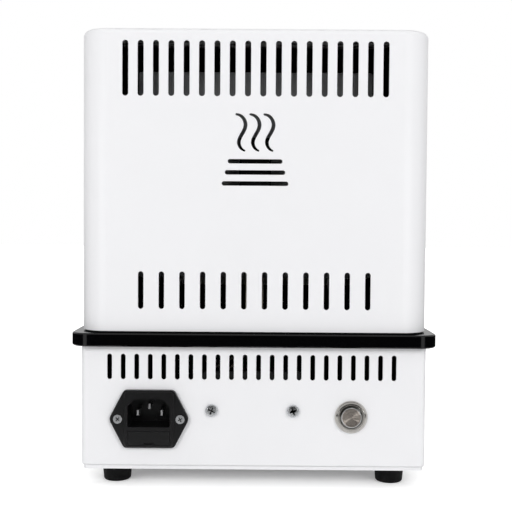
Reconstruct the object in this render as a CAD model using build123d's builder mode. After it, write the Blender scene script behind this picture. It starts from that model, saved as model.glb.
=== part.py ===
from build123d import *
import os
from math import atan, degrees, hypot, radians, tan

os.makedirs("parts", exist_ok=True)

# A small bench furnace for glazing dental crowns. Millimetres, +Z up, the front faces -Y and the
# back faces +Y. The origin is at the middle of the outer box, on the table.

# Upper casing: a rounded sheet-metal box without a floor
case_w = 204.0
case_depth = 196.0
case_h = 175.6
case_t = 1.5
case_corner = 16.0
case_edge = 3.4
case_flange = 20.0
flange_corner = 6.0

# Slots in the back of the casing
top_slot_count = 18
top_slot_pitch = 8.85
top_slot_w = 3.5
top_slot_l = 32.0
top_slot_down = 23.3
low_slot_count = 12
low_slot_pitch = 12.0
low_slot_w = 3.2
low_slot_l = 21.9
low_slot_up = 24.0

# Heat figure cut through the back: three bars and three waves, as seen from behind
bar_lengths = (38.6, 35.0, 31.6)
bar_t = 2.6
bar_pitch = 6.4
figure_up = 92.6
wave_pitch = 8.1
wave_spine = ((-2.7, 33.4), (0.7, 31.7), (2.4, 27.4), (0.6, 22.4), (-1.4, 17.2), (-0.4, 14.3), (1.8, 12.6))
wave_half = (0.72, 1.0, 1.13, 1.13, 1.08, 0.85, 0.6)

# Gasket and black plate under the casing
gasket_t = 0.8
gasket_inset = 0.9
gasket_w = 18.0
plate_overhang = 4.75
plate_t = 7.8
plate_corner = 10.4
plate_bevel = 0.7
cable_from_wall = 20.0
cable_hole_r = 8.5
grommet_lip = 2.2
grommet_lip_t = 1.2
grommet_bore_r = 6.5
grommet_room = 0.5

# Base shell, its slots and its cover
base_inset = 5.75
base_h = 70.6
base_t = 1.5
base_corner = 3.5
base_flange = 9.5
base_fold = 1.2
base_slot_count = 22
base_slot_pitch = 7.91
base_slot_w = 2.8
base_slot_l = 15.0
base_slot_up = 58.3
base_slot_shift = -1.1
cover_inset = 1.3
cover_t = 2.2

# Rubber feet
foot_h = 10.6
foot_top_r = 9.0
foot_bottom_r = 8.1
foot_edge = 1.5
foot_inset = 18.6
foot_recess_r = 4.6
foot_recess_depth = 6.0

# Chamber, its mouth and the can round it
chamber_up = 93.0
chamber_w = 94.0
chamber_h = 77.0
can_w = 144.0
can_h = 126.7
can_t = 1.2
can_corner = 1.5
can_behind = 33.5
board_gap = 0.2
board_back_t = 28.0
frame_edge = 5.0
frame_t = 1.5
frame_corner = 4.0
mouth_corner = 3.0
mouth_ring = 9.0
leg_spread = 100.0
leg_foot_w = 16.0
leg_t = 1.5
leg_from_end = 19.0

# Heating tubes and what holds them
tube_r = 4.0
tube_bore_r = 2.8
tube_rows = 3
tube_pitch = 22.0
tube_off_wall = 3.0
tube_setback = 20.0
tube_nose = 1.5
tube_hole_clear = 0.3
winding_r = 2.5
stud_r = 1.5
stud_reach = 4.0
tube_into_cap = 8.0
cap_r = 6.5
cap_l = 13.0
comb_t = 6.0
comb_h = 60.0
comb_in = 11.5
bar_w = 8.0
bus_t = 1.0
bus_extra = 7.0

# Thermocouple through the back board
probe_r = 2.5
probe_reach = 22.0
probe_into_head = 8.0
probe_above = 12.0
tip_share = 0.8
head_w = 19.0
head_h = 39.0
head_depth = 14.0
head_below = 9.5

# Hearth, firing tray and pegs
hearth_w = 68.0
hearth_behind = 16.8
hearth_t = 6.0
tile_edge = 0.8
tray_r = 33.0
tray_t = 10.0
tray_hole_r = 1.3
tray_hole_depth = 8.0
tray_hole_step = 4.0
peg_r = 1.1
peg_l = 22.0
peg_ring = 2
peg_count = 6

# Door in front of the casing, hinged on two upright pins
door_lap_x = 19.0
door_lap_z = 17.5
door_depth = 20.0
door_t = 1.2
door_gap = 3.0
door_corner = 3.0
door_edge = 2.0
liner_t = 1.2
liner_clear = 0.2
tab_l = 10.0
tab_from_end = 25.0
filling_side_clear = 1.8
filling_end_clear = 3.8
plug_clear = 2.0
plug_depth = 18.0
plug_draft = 3.0
seal_w = 6.0
seal_squash = 0.3
seal_round = 1.4
magnet_r = 4.0
magnet_t = 2.6
magnet_from_side = 9.0
magnet_z = 18.0
magnet_edge = 0.4

# Hinge pins, 5 mm from the door's side and 8 mm in front of its back
hinge_from_side = 5.0
hinge_from_back = 8.0
pin_r = 2.0
pin_running = 0.05
pin_press = 0.02
pin_head_r = 3.5
pin_head_h = 1.5
pin_in_block = 12.0
ear_t = 3.0
ear_gap = 0.5
bracket_half = 8.0
bracket_flange_h = 13.0
bracket_t = 3.0
block_top_gap = 3.5
block_h = 16.0
block_y_half = 5.0

# Bar handle on two posts
handle_from_side = 17.0
handle_r = 5.0
handle_l = 96.0
handle_round = 1.5
handle_reach = 31.0
post_r = 4.0
post_from_end = 14.0
post_in_bar = 2.0
post_clear = 0.05

# Mains inlet, seen from behind at the left
inlet_x = -60.8
inlet_up = 28.0
inlet_flange_w = 29.2
inlet_flange_h = 33.8
inlet_flange_t = 3.2
inlet_corner = 2.8
inlet_ear_r = 4.6
inlet_screw_x = 18.2
inlet_rim_w = 29.2
inlet_rim_h = 32.6
inlet_rim_t = 1.0
inlet_body_w = 28.0
inlet_body_h = 32.4
inlet_body_depth = 25.0
inlet_panel_clear = 0.2
socket_w = 24.6
socket_h = 16.4
socket_up = 3.75
socket_depth = 16.5
socket_bevel = 4.2
blade_w = 2.0
blade_h = 4.0
blade_pitch = 14.0
blade_l = 11.0
earth_l = 12.0
earth_up = 3.2
blade_tail = 9.0
blade_down = 0.8

# Fuse drawer under the socket
drawer_w = 24.4
drawer_h = 8.0
drawer_down = 10.9
drawer_l = 22.0
drawer_clear = 0.2
drawer_front_t = 3.0
drawer_floor = 1.1
fuse_r = 2.5
fuse_l = 20.0
fuse_pocket = 5.3
fuse_rib = 1.4
drawer_notch_w = 6.0
drawer_notch_h = 0.8
drawer_notch_depth = 1.2

# Push button, seen from behind at the right
button_x = 57.1
button_up = 29.7
bezel_r = 9.55
bezel_face_r = 8.1
bezel_h = 2.6
bezel_bore_r = 6.7
bezel_step_r = 7.2
bezel_step_h = 0.6
thread_r = 8.0
thread_l = 14.0
thread_clear = 0.1
button_r = 5.95
button_proud = 0.6
button_edge = 0.45
button_in = 7.0
button_lip_r = 6.45
button_lip_t = 1.0
button_travel = 2.0
stem_r = 3.0
stem_l = 7.0
guide_r = 6.2
guide_gap = 0.8
switch_nut_r = 10.5
switch_nut_t = 2.5
switch_body_r = 7.8
switch_body_l = 14.0
switch_tab_w = 2.8
switch_tab_t = 0.8
switch_tab_l = 7.0
switch_tab_x = 3.5

# Solid-state relay, held to the back panel by two screws
relay_x = -0.6
relay_up = 33.0
relay_pitch = 47.6
relay_w = 58.0
relay_h = 45.0
relay_base_t = 3.5
relay_body_w = 54.0
relay_body_h = 42.0
relay_body_depth = 20.0
relay_round = 2.0
relay_notch_r = 5.0
relay_post_r = 4.0
relay_post_h = 2.5
relay_post_x = 17.0
relay_post_z = 14.0

# Touch panel in the front of the base
glass_w = 104.0
glass_h = 58.0
glass_t = 3.0
glass_corner = 4.0
glass_bevel = 0.5
module_w = 88.0
module_h = 48.0
module_t = 7.0
module_clear = 0.5
board_w = 112.0
board_h = 56.0
board_t = 1.6
chip_w = 20.0
chip_t = 3.2
header_w = 26.0
header_h = 8.0
header_t = 8.0
header_in = 8.0
header_side = 38.0

# Power supply on pillars of the bottom cover
supply_x = 44.0
supply_from_front = 82.0
supply_w = 66.0
supply_l = 96.0
pillar_r = 3.0
pillar_h = 9.0
pillar_inset = 5.0
transformer_w = 28.0
transformer_h = 22.0
block_w = 40.0
block_l = 10.0
block_in = 8.0
terminal_h = 16.0
capacitor_r = 6.5
capacitor_h = 26.0
capacitor_x = 12.0
capacitor_y = 28.0

# Screws: head radius, head height, shank radius
m4_head_r = 3.75
m4_head_h = 2.4
m4_r = 2.0
m3_head_r = 2.8
m3_head_h = 1.7
m3_r = 1.5
screw_clear = 0.2
tap_clear = 0.05
crown_share = 0.55
recess_share = 0.62
recess_slit = 0.26
tap_spare = 1.0
nut_r = 3.2
nut_t = 2.4
weld_nut_r = 4.2
weld_nut_h = 4.0
case_screw_from_side = 15.0
case_screw_from_end = 28.0
plate_screw_from_side = 5.5
plate_screw_from_end = 28.5
plate_screw_in = 5.0
cover_screw_from_side = 7.0
cover_screw_from_end = 23.5
leg_screw_from_end = 15.0
frame_screw_out_x = 6.0
frame_screw_out_z = 8.5
hinge_screw_x = 4.6

# Leads inside the furnace
lead_r = 1.2
lead_bend = 14.0
lead_share = 0.45
lead_spread = 4.2
lead_exit = 16.0
lead_over = 9.0

# Levels, from the table up
z_cover = foot_h
z_base = z_cover + cover_t
z_plate = z_base + base_h
z_gasket = z_plate + plate_t
z_case = z_gasket + gasket_t
z_top = z_case + case_h
z_chamber = z_case + chamber_up
z_figure = z_case + figure_up
z_can = z_chamber - can_h / 2
z_floor = z_chamber - chamber_h / 2
z_roof = z_chamber + chamber_h / 2
z_inlet = z_base + inlet_up
z_button = z_base + button_up
z_relay = z_base + relay_up
z_glass = z_base + base_h / 2

# Depths, from the back edge of the plate to the front of the handle
plate_w = case_w + 2 * plate_overhang
plate_depth = 2 * plate_overhang + case_depth + door_gap + door_depth
overall_depth = plate_depth - plate_overhang + handle_reach
y_plate_back = overall_depth / 2
y_plate_front = y_plate_back - plate_depth
y_plate_mid = (y_plate_back + y_plate_front) / 2
y_case_back = y_plate_back - plate_overhang
y_case_front = y_case_back - case_depth
y_case_mid = (y_case_back + y_case_front) / 2
y_door_back = y_case_front - door_gap
y_door_front = y_door_back - door_depth
base_w = plate_w - 2 * base_inset
base_depth = plate_depth - 2 * base_inset
y_base_back = y_plate_back - base_inset
y_base_front = y_plate_front + base_inset
y_frame_back = y_case_front + case_t + frame_t
y_can_back = y_case_back - case_t - can_behind
y_board_front = y_can_back - can_t - board_back_t
y_panel = y_base_back - base_t
y_cable = y_case_back - case_t - cable_from_wall
y_hinge = y_door_back - hinge_from_back

# Inside sizes that several pieces share
mouth_w = chamber_w + 2 * mouth_ring
mouth_h = chamber_h + 2 * mouth_ring
door_w = mouth_w + 2 * door_lap_x
door_h = mouth_h + 2 * door_lap_z
x_hinge = -door_w / 2 + hinge_from_side
tab_z = door_h / 2 - tab_from_end
filling_w = door_w - 2 * (door_t + tab_l + filling_side_clear)
filling_h = door_h - 2 * (door_t + filling_end_clear)
magnet_x = door_w / 2 - magnet_from_side
handle_x = door_w / 2 - handle_from_side
post_z = handle_l / 2 - post_from_end
peg_ring_r = peg_ring * 2 * tray_hole_step
frame_screw_x = mouth_w / 2 + frame_screw_out_x
frame_screw_z = mouth_h / 2 + frame_screw_out_z
gasket_side = case_w - 2 * gasket_inset
gasket_length = case_depth - 2 * gasket_inset
cover_w = base_w - 2 * cover_inset
cover_l = base_depth - 2 * cover_inset
liner_w = door_w - 2 * door_t - 2 * liner_clear
liner_h = door_h - 2 * door_t - 2 * liner_clear
can_in_w = can_w - 2 * can_t
can_in_h = can_h - 2 * can_t
board_w_in = can_in_w - 2 * board_gap
board_top = z_can + can_h - can_t - board_gap
can_depth = y_can_back - y_frame_back
tube_x = chamber_w / 2 - tube_off_wall - tube_r
y_tube_front = y_frame_back + tube_setback
y_cap_back = y_can_back + cap_l
tube_levels = [z_chamber + tube_pitch * (row - (tube_rows - 1) / 2) for row in range(tube_rows)]
tube_points = [(x, z) for x in (-tube_x, tube_x) for z in tube_levels]
z_probe = z_chamber + probe_above
z_hearth = z_floor + hearth_t
hearth_l = y_board_front - y_tube_front - hearth_behind
y_hearth = y_tube_front + hearth_l / 2
foot_points = [
    (x, y_plate_mid + y)
    for x in (-base_w / 2 + foot_inset, base_w / 2 - foot_inset)
    for y in (-base_depth / 2 + foot_inset, base_depth / 2 - foot_inset)
]
case_screw_x = case_w / 2 - case_screw_from_side
case_screw_y = case_depth / 2 - case_screw_from_end
plate_screw_x = base_w / 2 - plate_screw_from_side
plate_screw_y = base_depth / 2 - plate_screw_from_end
cover_screw_x = base_w / 2 - cover_screw_from_side
cover_screw_y = base_depth / 2 - cover_screw_from_end
leg_l = can_depth - 2 * leg_from_end
leg_screw_y = leg_l / 2 - leg_screw_from_end
case_screw_points = [(x, y_case_mid + y) for x in (-case_screw_x, case_screw_x)
                     for y in (-case_screw_y, 0, case_screw_y)]
leg_screw_points = [(x, y_case_mid - can_behind / 2 + y) for x in (-leg_spread / 2, leg_spread / 2)
                    for y in (-leg_screw_y, leg_screw_y)]
plate_screw_points = [(x, y_plate_mid + y) for x in (-plate_screw_x, plate_screw_x)
                      for y in (-plate_screw_y, 0, plate_screw_y)]
cover_screw_points = [(x, y_plate_mid + y) for x in (-cover_screw_x, cover_screw_x)
                      for y in (-cover_screw_y, 0, cover_screw_y)]
frame_screw_points = [(x, z_chamber + z) for x in (-frame_screw_x, frame_screw_x)
                      for z in (-frame_screw_z, frame_screw_z)]
relay_screw_points = [(relay_x - relay_pitch / 2, z_relay), (relay_x + relay_pitch / 2, z_relay)]
relay_posts = [(relay_x + x, z_relay + z) for x in (-relay_post_x, relay_post_x)
               for z in (-relay_post_z, relay_post_z)]
cable_notch_r = cable_hole_r + grommet_lip + grommet_room
y_control = y_base_front + module_t
y_header = y_control + board_t + header_t
z_header_top = z_glass + board_h / 2 - header_in
z_header_low = z_glass - board_h / 2 + header_in
header_points = [(0, z_header_top), (0, z_header_low), (header_side, z_header_low)]
supply_y = y_base_front + supply_from_front
z_supply = z_base + pillar_h
supply_pillars = [
    (supply_x + x, supply_y + y)
    for x in (-supply_w / 2 + pillar_inset, supply_w / 2 - pillar_inset)
    for y in (-supply_l / 2 + pillar_inset, supply_l / 2 - pillar_inset)
]
base_screw_l = cover_t + base_t + m3_r
z_ear = door_h / 2 + ear_gap
z_hinge_screw = z_ear + ear_t + (bracket_flange_h - ear_t) / 2
hinge_screw_points = [(x_hinge + x, z_chamber + side * z_hinge_screw)
                      for x in (-hinge_screw_x, hinge_screw_x) for side in (-1, 1)]
frame_w = 2 * (hinge_screw_x - x_hinge + frame_edge)
frame_h = 2 * (z_hinge_screw + frame_edge)


def from_behind(y):
    """An upright plane whose x runs to the right for someone behind the furnace, z_dir to +Y."""
    return Plane(origin=(0, y, 0), x_dir=(-1, 0, 0), z_dir=(0, 1, 0))


def from_front(y):
    """An upright plane whose x runs to the right for someone before the furnace, z_dir to -Y."""
    return Plane(origin=(0, y, 0), x_dir=(1, 0, 0), z_dir=(0, -1, 0))


def from_below(z):
    """A level plane that looks down. Its x is mirrored, so it takes left-right patterns only."""
    return Plane(origin=(0, 0, z), x_dir=(-1, 0, 0), z_dir=(0, 0, -1))


def drill(plane, points, radius, depth):
    """Round holes from the plane against its z_dir, in the part that is being built."""
    with BuildSketch(plane) as holes:
        with Locations(*points):
            Circle(radius)
    extrude(holes.sketch, amount=-depth, mode=Mode.SUBTRACT)


def pan_screws(plane, points, head_r, head_h, shank_r, shank_l):
    """Cross-recess screws. The heads stand on the plane and the shanks go down through it."""
    with BuildPart() as group:
        with BuildSketch(plane):
            with Locations(*points):
                Circle(head_r)
        extrude(amount=head_h)
        crown = group.edges().group_by(Axis(plane.origin, plane.z_dir))[-1]
        fillet(crown, head_h * crown_share)
        with BuildSketch(plane.offset(head_h)):
            with Locations(*points):
                Rectangle(2 * head_r * recess_share, head_r * recess_slit)
                Rectangle(head_r * recess_slit, 2 * head_r * recess_share)
        extrude(amount=-head_h * crown_share, mode=Mode.SUBTRACT)
        with BuildSketch(plane):
            with Locations(*points):
                Circle(shank_r)
        extrude(amount=-shank_l)
    return group


def wave_outline(x):
    """One steam wave: a swelling stroke about its spine, round at both ends."""
    left, right = [], []
    for i, (sx, sz) in enumerate(wave_spine):
        ax, az = wave_spine[max(i - 1, 0)]
        bx, bz = wave_spine[min(i + 1, len(wave_spine) - 1)]
        run = hypot(bx - ax, bz - az)
        nx, nz = -(bz - az) / run, (bx - ax) / run
        left.append((x + sx + nx * wave_half[i], z_figure + sz + nz * wave_half[i]))
        right.append((x + sx - nx * wave_half[i], z_figure + sz - nz * wave_half[i]))
    return left, right


# Upper casing, with its foot flange and its weld nuts
with BuildPart() as upper_casing:
    with BuildSketch(Plane.XY.offset(z_case)):
        with Locations((0, y_case_mid)):
            RectangleRounded(case_w, case_depth, case_corner)
    extrude(amount=case_h)
    fillet(upper_casing.edges().group_by(Axis.Z)[-1], case_edge)
    offset(amount=-case_t, openings=upper_casing.faces().sort_by(Axis.Z)[0])
    with BuildSketch(Plane.XY.offset(z_case)):
        with Locations((0, y_case_mid)):
            RectangleRounded(case_w - case_t, case_depth - case_t, case_corner - case_t / 2)
            RectangleRounded(
                case_w - 2 * case_flange, case_depth - 2 * case_flange, flange_corner, mode=Mode.SUBTRACT
            )
    extrude(amount=case_t)
    with BuildSketch(Plane.XY.offset(z_case + case_t)):
        with Locations(*case_screw_points):
            Circle(weld_nut_r)
    extrude(amount=weld_nut_h)
    drill(Plane.XY.offset(z_case + case_t + weld_nut_h), case_screw_points, m4_r + tap_clear,
          case_t + weld_nut_h)
    drill(Plane.XY.offset(z_case + case_t), [(0, y_cable)], cable_notch_r, case_t)
    with BuildSketch(from_behind(y_case_back)):
        with Locations((0, z_top - top_slot_down)):
            with GridLocations(top_slot_pitch, 1, top_slot_count, 1):
                SlotOverall(top_slot_l, top_slot_w, rotation=90)
        with Locations((0, z_case + low_slot_up)):
            with GridLocations(low_slot_pitch, 1, low_slot_count, 1):
                SlotOverall(low_slot_l, low_slot_w, rotation=90)
        for level, length in enumerate(bar_lengths):
            with Locations((0, z_figure + (level - 1) * bar_pitch)):
                SlotOverall(length, bar_t)
        for wave in (-1, 0, 1):
            left_side, right_side = wave_outline(wave * wave_pitch)
            with BuildLine():
                Spline(*left_side)
                Spline(*right_side)
                Line(left_side[0], right_side[0])
                Line(left_side[-1], right_side[-1])
            make_face()
            with Locations((wave * wave_pitch + wave_spine[0][0], z_figure + wave_spine[0][1])):
                Circle(wave_half[0])
            with Locations((wave * wave_pitch + wave_spine[-1][0], z_figure + wave_spine[-1][1])):
                Circle(wave_half[-1])
    extrude(amount=-2 * case_t, mode=Mode.SUBTRACT)
    with BuildSketch(from_front(y_case_front)):
        with Locations((0, z_chamber)):
            RectangleRounded(mouth_w, mouth_h, mouth_corner + mouth_ring / 2)
    extrude(amount=-2 * case_t, mode=Mode.SUBTRACT)
    drill(from_front(y_case_front), frame_screw_points + hinge_screw_points, m3_r + screw_clear, case_t)
upper_casing.part.label = "upper_casing"
export_step(upper_casing.part, "parts/upper_casing.step")

# Gasket between the casing and the plate
with BuildPart() as casing_gasket:
    with BuildSketch(Plane.XY.offset(z_gasket)):
        with Locations((0, y_case_mid)):
            RectangleRounded(gasket_side, gasket_length, case_corner - gasket_inset)
            RectangleRounded(
                gasket_side - 2 * gasket_w, gasket_length - 2 * gasket_w, flange_corner, mode=Mode.SUBTRACT
            )
    extrude(amount=gasket_t)
    drill(Plane.XY.offset(z_case), case_screw_points, m4_r + screw_clear, gasket_t)
    drill(Plane.XY.offset(z_case), [(0, y_cable)], cable_notch_r, gasket_t)
casing_gasket.part.label = "casing_gasket"
export_step(casing_gasket.part, "parts/casing_gasket.step")

# Black plate that carries the casing and the core
with BuildPart() as trim_plate:
    with BuildSketch(Plane.XY.offset(z_plate)):
        with Locations((0, y_plate_mid)):
            RectangleRounded(plate_w, plate_depth, plate_corner)
    extrude(amount=plate_t)
    rims = trim_plate.edges().group_by(Axis.Z)
    chamfer(rims[0] + rims[-1], plate_bevel)
    drill(Plane.XY.offset(z_gasket), [(0, y_cable)], cable_hole_r, plate_t)
    drill(Plane.XY.offset(z_gasket), case_screw_points + leg_screw_points, m4_r + screw_clear, plate_t)
    drill(from_below(z_plate), plate_screw_points, m4_r + tap_clear, plate_screw_in + tap_spare)
trim_plate.part.label = "trim_plate"
export_step(trim_plate.part, "parts/trim_plate.step")

# Screws up through the plate into the casing's weld nuts and the can's legs
casing_screws = pan_screws(from_below(z_plate), case_screw_points + leg_screw_points,
                           m4_head_r, m4_head_h, m4_r, plate_t + gasket_t + case_t + weld_nut_h)
casing_screws.part.label = "casing_screws"
export_step(casing_screws.part, "parts/casing_screws.step")

# Rubber ring in the plate's cable hole
with BuildPart() as plate_grommet:
    with BuildSketch(Plane.XY.offset(z_plate - grommet_lip_t)):
        with Locations((0, y_cable)):
            Circle(cable_hole_r + grommet_lip)
    extrude(amount=grommet_lip_t)
    with BuildSketch(Plane.XY.offset(z_plate)):
        with Locations((0, y_cable)):
            Circle(cable_hole_r - tap_clear)
    extrude(amount=plate_t)
    with BuildSketch(Plane.XY.offset(z_gasket)):
        with Locations((0, y_cable)):
            Circle(cable_hole_r + grommet_lip)
    extrude(amount=grommet_lip_t)
    drill(Plane.XY.offset(z_gasket + grommet_lip_t), [(0, y_cable)], grommet_bore_r,
          plate_t + 2 * grommet_lip_t)
plate_grommet.part.label = "plate_grommet"
export_step(plate_grommet.part, "parts/plate_grommet.step")

# Base shell: four walls folded in at the top and at the bottom
with BuildPart() as base_shell:
    with BuildSketch(Plane.XY.offset(z_base)):
        with Locations((0, y_plate_mid)):
            RectangleRounded(base_w, base_depth, base_corner)
    extrude(amount=base_h)
    folds = base_shell.edges().group_by(Axis.Z)
    fillet(folds[0], base_fold)
    with BuildSketch(Plane.XY.offset(z_base + base_t)):
        with Locations((0, y_plate_mid)):
            RectangleRounded(base_w - 2 * base_t, base_depth - 2 * base_t, base_corner - base_t)
    extrude(amount=base_h - 2 * base_t, mode=Mode.SUBTRACT)
    with BuildSketch(Plane.XY.offset(z_base)):
        with Locations((0, y_plate_mid)):
            Rectangle(base_w - 2 * base_flange, base_depth - 2 * base_flange)
    extrude(amount=base_h, mode=Mode.SUBTRACT)
    with BuildSketch(from_behind(y_base_back)):
        with Locations((base_slot_shift, z_base + base_slot_up)):
            with GridLocations(base_slot_pitch, 1, base_slot_count, 1):
                SlotOverall(base_slot_l, base_slot_w, rotation=90)
        with Locations((inlet_x, z_inlet)):
            Rectangle(inlet_body_w + 2 * inlet_panel_clear, inlet_body_h + 2 * inlet_panel_clear)
        with Locations((inlet_x - inlet_screw_x, z_inlet), (inlet_x + inlet_screw_x, z_inlet)):
            Circle(m3_r + screw_clear)
        with Locations(*relay_screw_points):
            Circle(m4_r + screw_clear)
        with Locations((button_x, z_button)):
            Circle(thread_r + thread_clear)
    extrude(amount=-2 * base_t, mode=Mode.SUBTRACT)
    with BuildSketch(from_front(y_base_front)):
        with Locations((0, z_glass)):
            Rectangle(module_w + 2 * module_clear, module_h + 2 * module_clear)
    extrude(amount=-2 * base_t, mode=Mode.SUBTRACT)
    drill(Plane.XY.offset(z_plate), plate_screw_points, m4_r + screw_clear, base_t)
    drill(Plane.XY.offset(z_base + base_t), cover_screw_points, m3_r + tap_clear, base_t)
base_shell.part.label = "base_shell"
export_step(base_shell.part, "parts/base_shell.step")

# Screws up through the base's top fold into the plate
plate_screws = pan_screws(from_below(z_plate - base_t), plate_screw_points, m4_head_r, m4_head_h, m4_r,
                          base_t + plate_screw_in)
plate_screws.part.label = "plate_screws"
export_step(plate_screws.part, "parts/plate_screws.step")

# Bottom cover with the pillars of the power supply
with BuildPart() as bottom_cover:
    with BuildSketch(Plane.XY.offset(z_cover)):
        with Locations((0, y_plate_mid)):
            RectangleRounded(cover_w, cover_l, base_corner - cover_inset)
    extrude(amount=cover_t)
    with BuildSketch(Plane.XY.offset(z_base)):
        with Locations(*supply_pillars):
            Circle(pillar_r)
    extrude(amount=pillar_h)
    drill(Plane.XY.offset(z_base), cover_screw_points, m3_r + screw_clear, cover_t)
    drill(Plane.XY.offset(z_base), foot_points, m4_r + tap_clear, cover_t)
    drill(Plane.XY.offset(z_supply), supply_pillars, m3_r + tap_clear, base_screw_l)
bottom_cover.part.label = "bottom_cover"
export_step(bottom_cover.part, "parts/bottom_cover.step")

# Ten short screws: six up through the cover, four down through the supply's board
with BuildPart() as base_screws:
    add(pan_screws(from_below(z_cover), cover_screw_points, m3_head_r, m3_head_h, m3_r, base_screw_l).part)
    add(pan_screws(Plane.XY.offset(z_supply + board_t), supply_pillars, m3_head_r, m3_head_h, m3_r,
                   base_screw_l).part)
base_screws.part.label = "base_screws"
export_step(base_screws.part, "parts/base_screws.step")

# Tapered rubber feet, each with a screw in its recess
with BuildPart() as rubber_feet:
    for x, y in foot_points:
        with BuildSketch(Plane(origin=(x, y, 0))):
            Circle(foot_bottom_r)
        with BuildSketch(Plane(origin=(x, y, foot_h))):
            Circle(foot_top_r)
        loft()
    fillet(rubber_feet.edges().group_by(Axis.Z)[0], foot_edge)
    drill(Plane.XY.offset(foot_recess_depth), foot_points, foot_recess_r, foot_recess_depth)
    drill(Plane.XY.offset(foot_h), foot_points, m4_r + screw_clear, foot_h)
rubber_feet.part.label = "rubber_feet"
export_step(rubber_feet.part, "parts/rubber_feet.step")

foot_screws = pan_screws(from_below(foot_recess_depth), foot_points, m4_head_r, m4_head_h, m4_r,
                         foot_h - foot_recess_depth + cover_t + m4_r)
foot_screws.part.label = "foot_screws"
export_step(foot_screws.part, "parts/foot_screws.step")

# Steel frame round the chamber's mouth, behind the casing's front wall
with BuildPart() as front_frame:
    with BuildSketch(from_front(y_case_front + case_t)):
        with Locations((0, z_chamber)):
            RectangleRounded(frame_w, frame_h, frame_corner)
            RectangleRounded(chamber_w, chamber_h, mouth_corner, mode=Mode.SUBTRACT)
        with Locations(*frame_screw_points, *hinge_screw_points):
            Circle(m3_r + tap_clear, mode=Mode.SUBTRACT)
    extrude(amount=-frame_t)
front_frame.part.label = "front_frame"
export_step(front_frame.part, "parts/front_frame.step")

# Screws in the casing's front wall: four hold the frame, four the hinge brackets
with BuildPart() as front_screws:
    add(pan_screws(from_front(y_case_front), frame_screw_points, m3_head_r, m3_head_h, m3_r,
                   case_t + frame_t).part)
    add(pan_screws(from_front(y_case_front - bracket_t), hinge_screw_points, m3_head_r, m3_head_h, m3_r,
                   bracket_t + case_t + frame_t).part)
front_screws.part.label = "front_screws"
export_step(front_screws.part, "parts/front_screws.step")

# Dark can round the insulation, open to the front
with BuildPart() as core_can:
    with BuildSketch(from_front(y_can_back)):
        with Locations((0, z_chamber)):
            RectangleRounded(can_w, can_h, can_corner)
    extrude(amount=can_depth)
    with BuildSketch(from_front(y_can_back - can_t)):
        with Locations((0, z_chamber)):
            Rectangle(can_in_w, can_in_h)
    extrude(amount=can_depth - can_t, mode=Mode.SUBTRACT)
    drill(from_front(y_can_back - can_t), tube_points, tube_r + tube_hole_clear, can_t)
    drill(from_front(y_can_back - can_t), [(0, z_probe)], probe_r + tube_hole_clear, can_t)
core_can.part.label = "core_can"
export_step(core_can.part, "parts/core_can.step")

# Two Z-shaped rails that stand the can on the plate
with BuildPart() as can_legs:
    for side in (-1, 1):
        with BuildSketch(from_front(y_case_mid - can_behind / 2 + leg_l / 2)):
            with Locations((side * leg_spread / 2, z_gasket + leg_t / 2)):
                Rectangle(leg_foot_w, leg_t)
            with Locations((side * (leg_spread + leg_foot_w - leg_t) / 2, (z_gasket + z_can) / 2)):
                Rectangle(leg_t, z_can - z_gasket)
            with Locations((side * (leg_spread / 2 + leg_foot_w - leg_t), z_can - leg_t / 2)):
                Rectangle(leg_foot_w, leg_t)
        extrude(amount=leg_l)
    with BuildSketch(Plane.XY.offset(z_gasket + leg_t)):
        with Locations(*leg_screw_points):
            Circle(nut_r)
    extrude(amount=nut_t)
    drill(Plane.XY.offset(z_gasket + leg_t + nut_t), leg_screw_points, m4_r + tap_clear, leg_t + nut_t)
can_legs.part.label = "can_legs"
export_step(can_legs.part, "parts/can_legs.step")

# Ceramic-fibre boards: floor, roof, two sides and back
board_front = from_front(y_board_front)
board_l = y_board_front - y_frame_back
side_board_t = (board_w_in - chamber_w) / 2

with BuildPart() as insulation_floor:
    with BuildSketch(board_front):
        with Locations((0, z_can + can_t)):
            Rectangle(board_w_in, z_floor - z_can - can_t, align=(Align.CENTER, Align.MIN))
    extrude(amount=board_l)
insulation_floor.part.label = "insulation_floor"
export_step(insulation_floor.part, "parts/insulation_floor.step")

with BuildPart() as insulation_roof:
    with BuildSketch(board_front):
        with Locations((0, z_roof)):
            Rectangle(board_w_in, board_top - z_roof, align=(Align.CENTER, Align.MIN))
    extrude(amount=board_l)
insulation_roof.part.label = "insulation_roof"
export_step(insulation_roof.part, "parts/insulation_roof.step")

with BuildPart() as insulation_sides:
    with BuildSketch(board_front):
        with Locations(*[(side * (chamber_w + side_board_t) / 2, z_chamber) for side in (-1, 1)]):
            Rectangle(side_board_t, chamber_h)
    extrude(amount=board_l)
insulation_sides.part.label = "insulation_sides"
export_step(insulation_sides.part, "parts/insulation_sides.step")

with BuildPart() as insulation_back:
    with BuildSketch(from_front(y_can_back - can_t)):
        with Locations((0, z_can + can_t)):
            Rectangle(board_w_in, board_top - z_can - can_t, align=(Align.CENTER, Align.MIN))
    extrude(amount=board_back_t)
    drill(board_front, tube_points, tube_r + tube_hole_clear, board_back_t)
    drill(board_front, [(0, z_probe)], probe_r + tube_hole_clear, board_back_t)
insulation_back.part.label = "insulation_back"
export_step(insulation_back.part, "parts/insulation_back.step")

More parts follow.
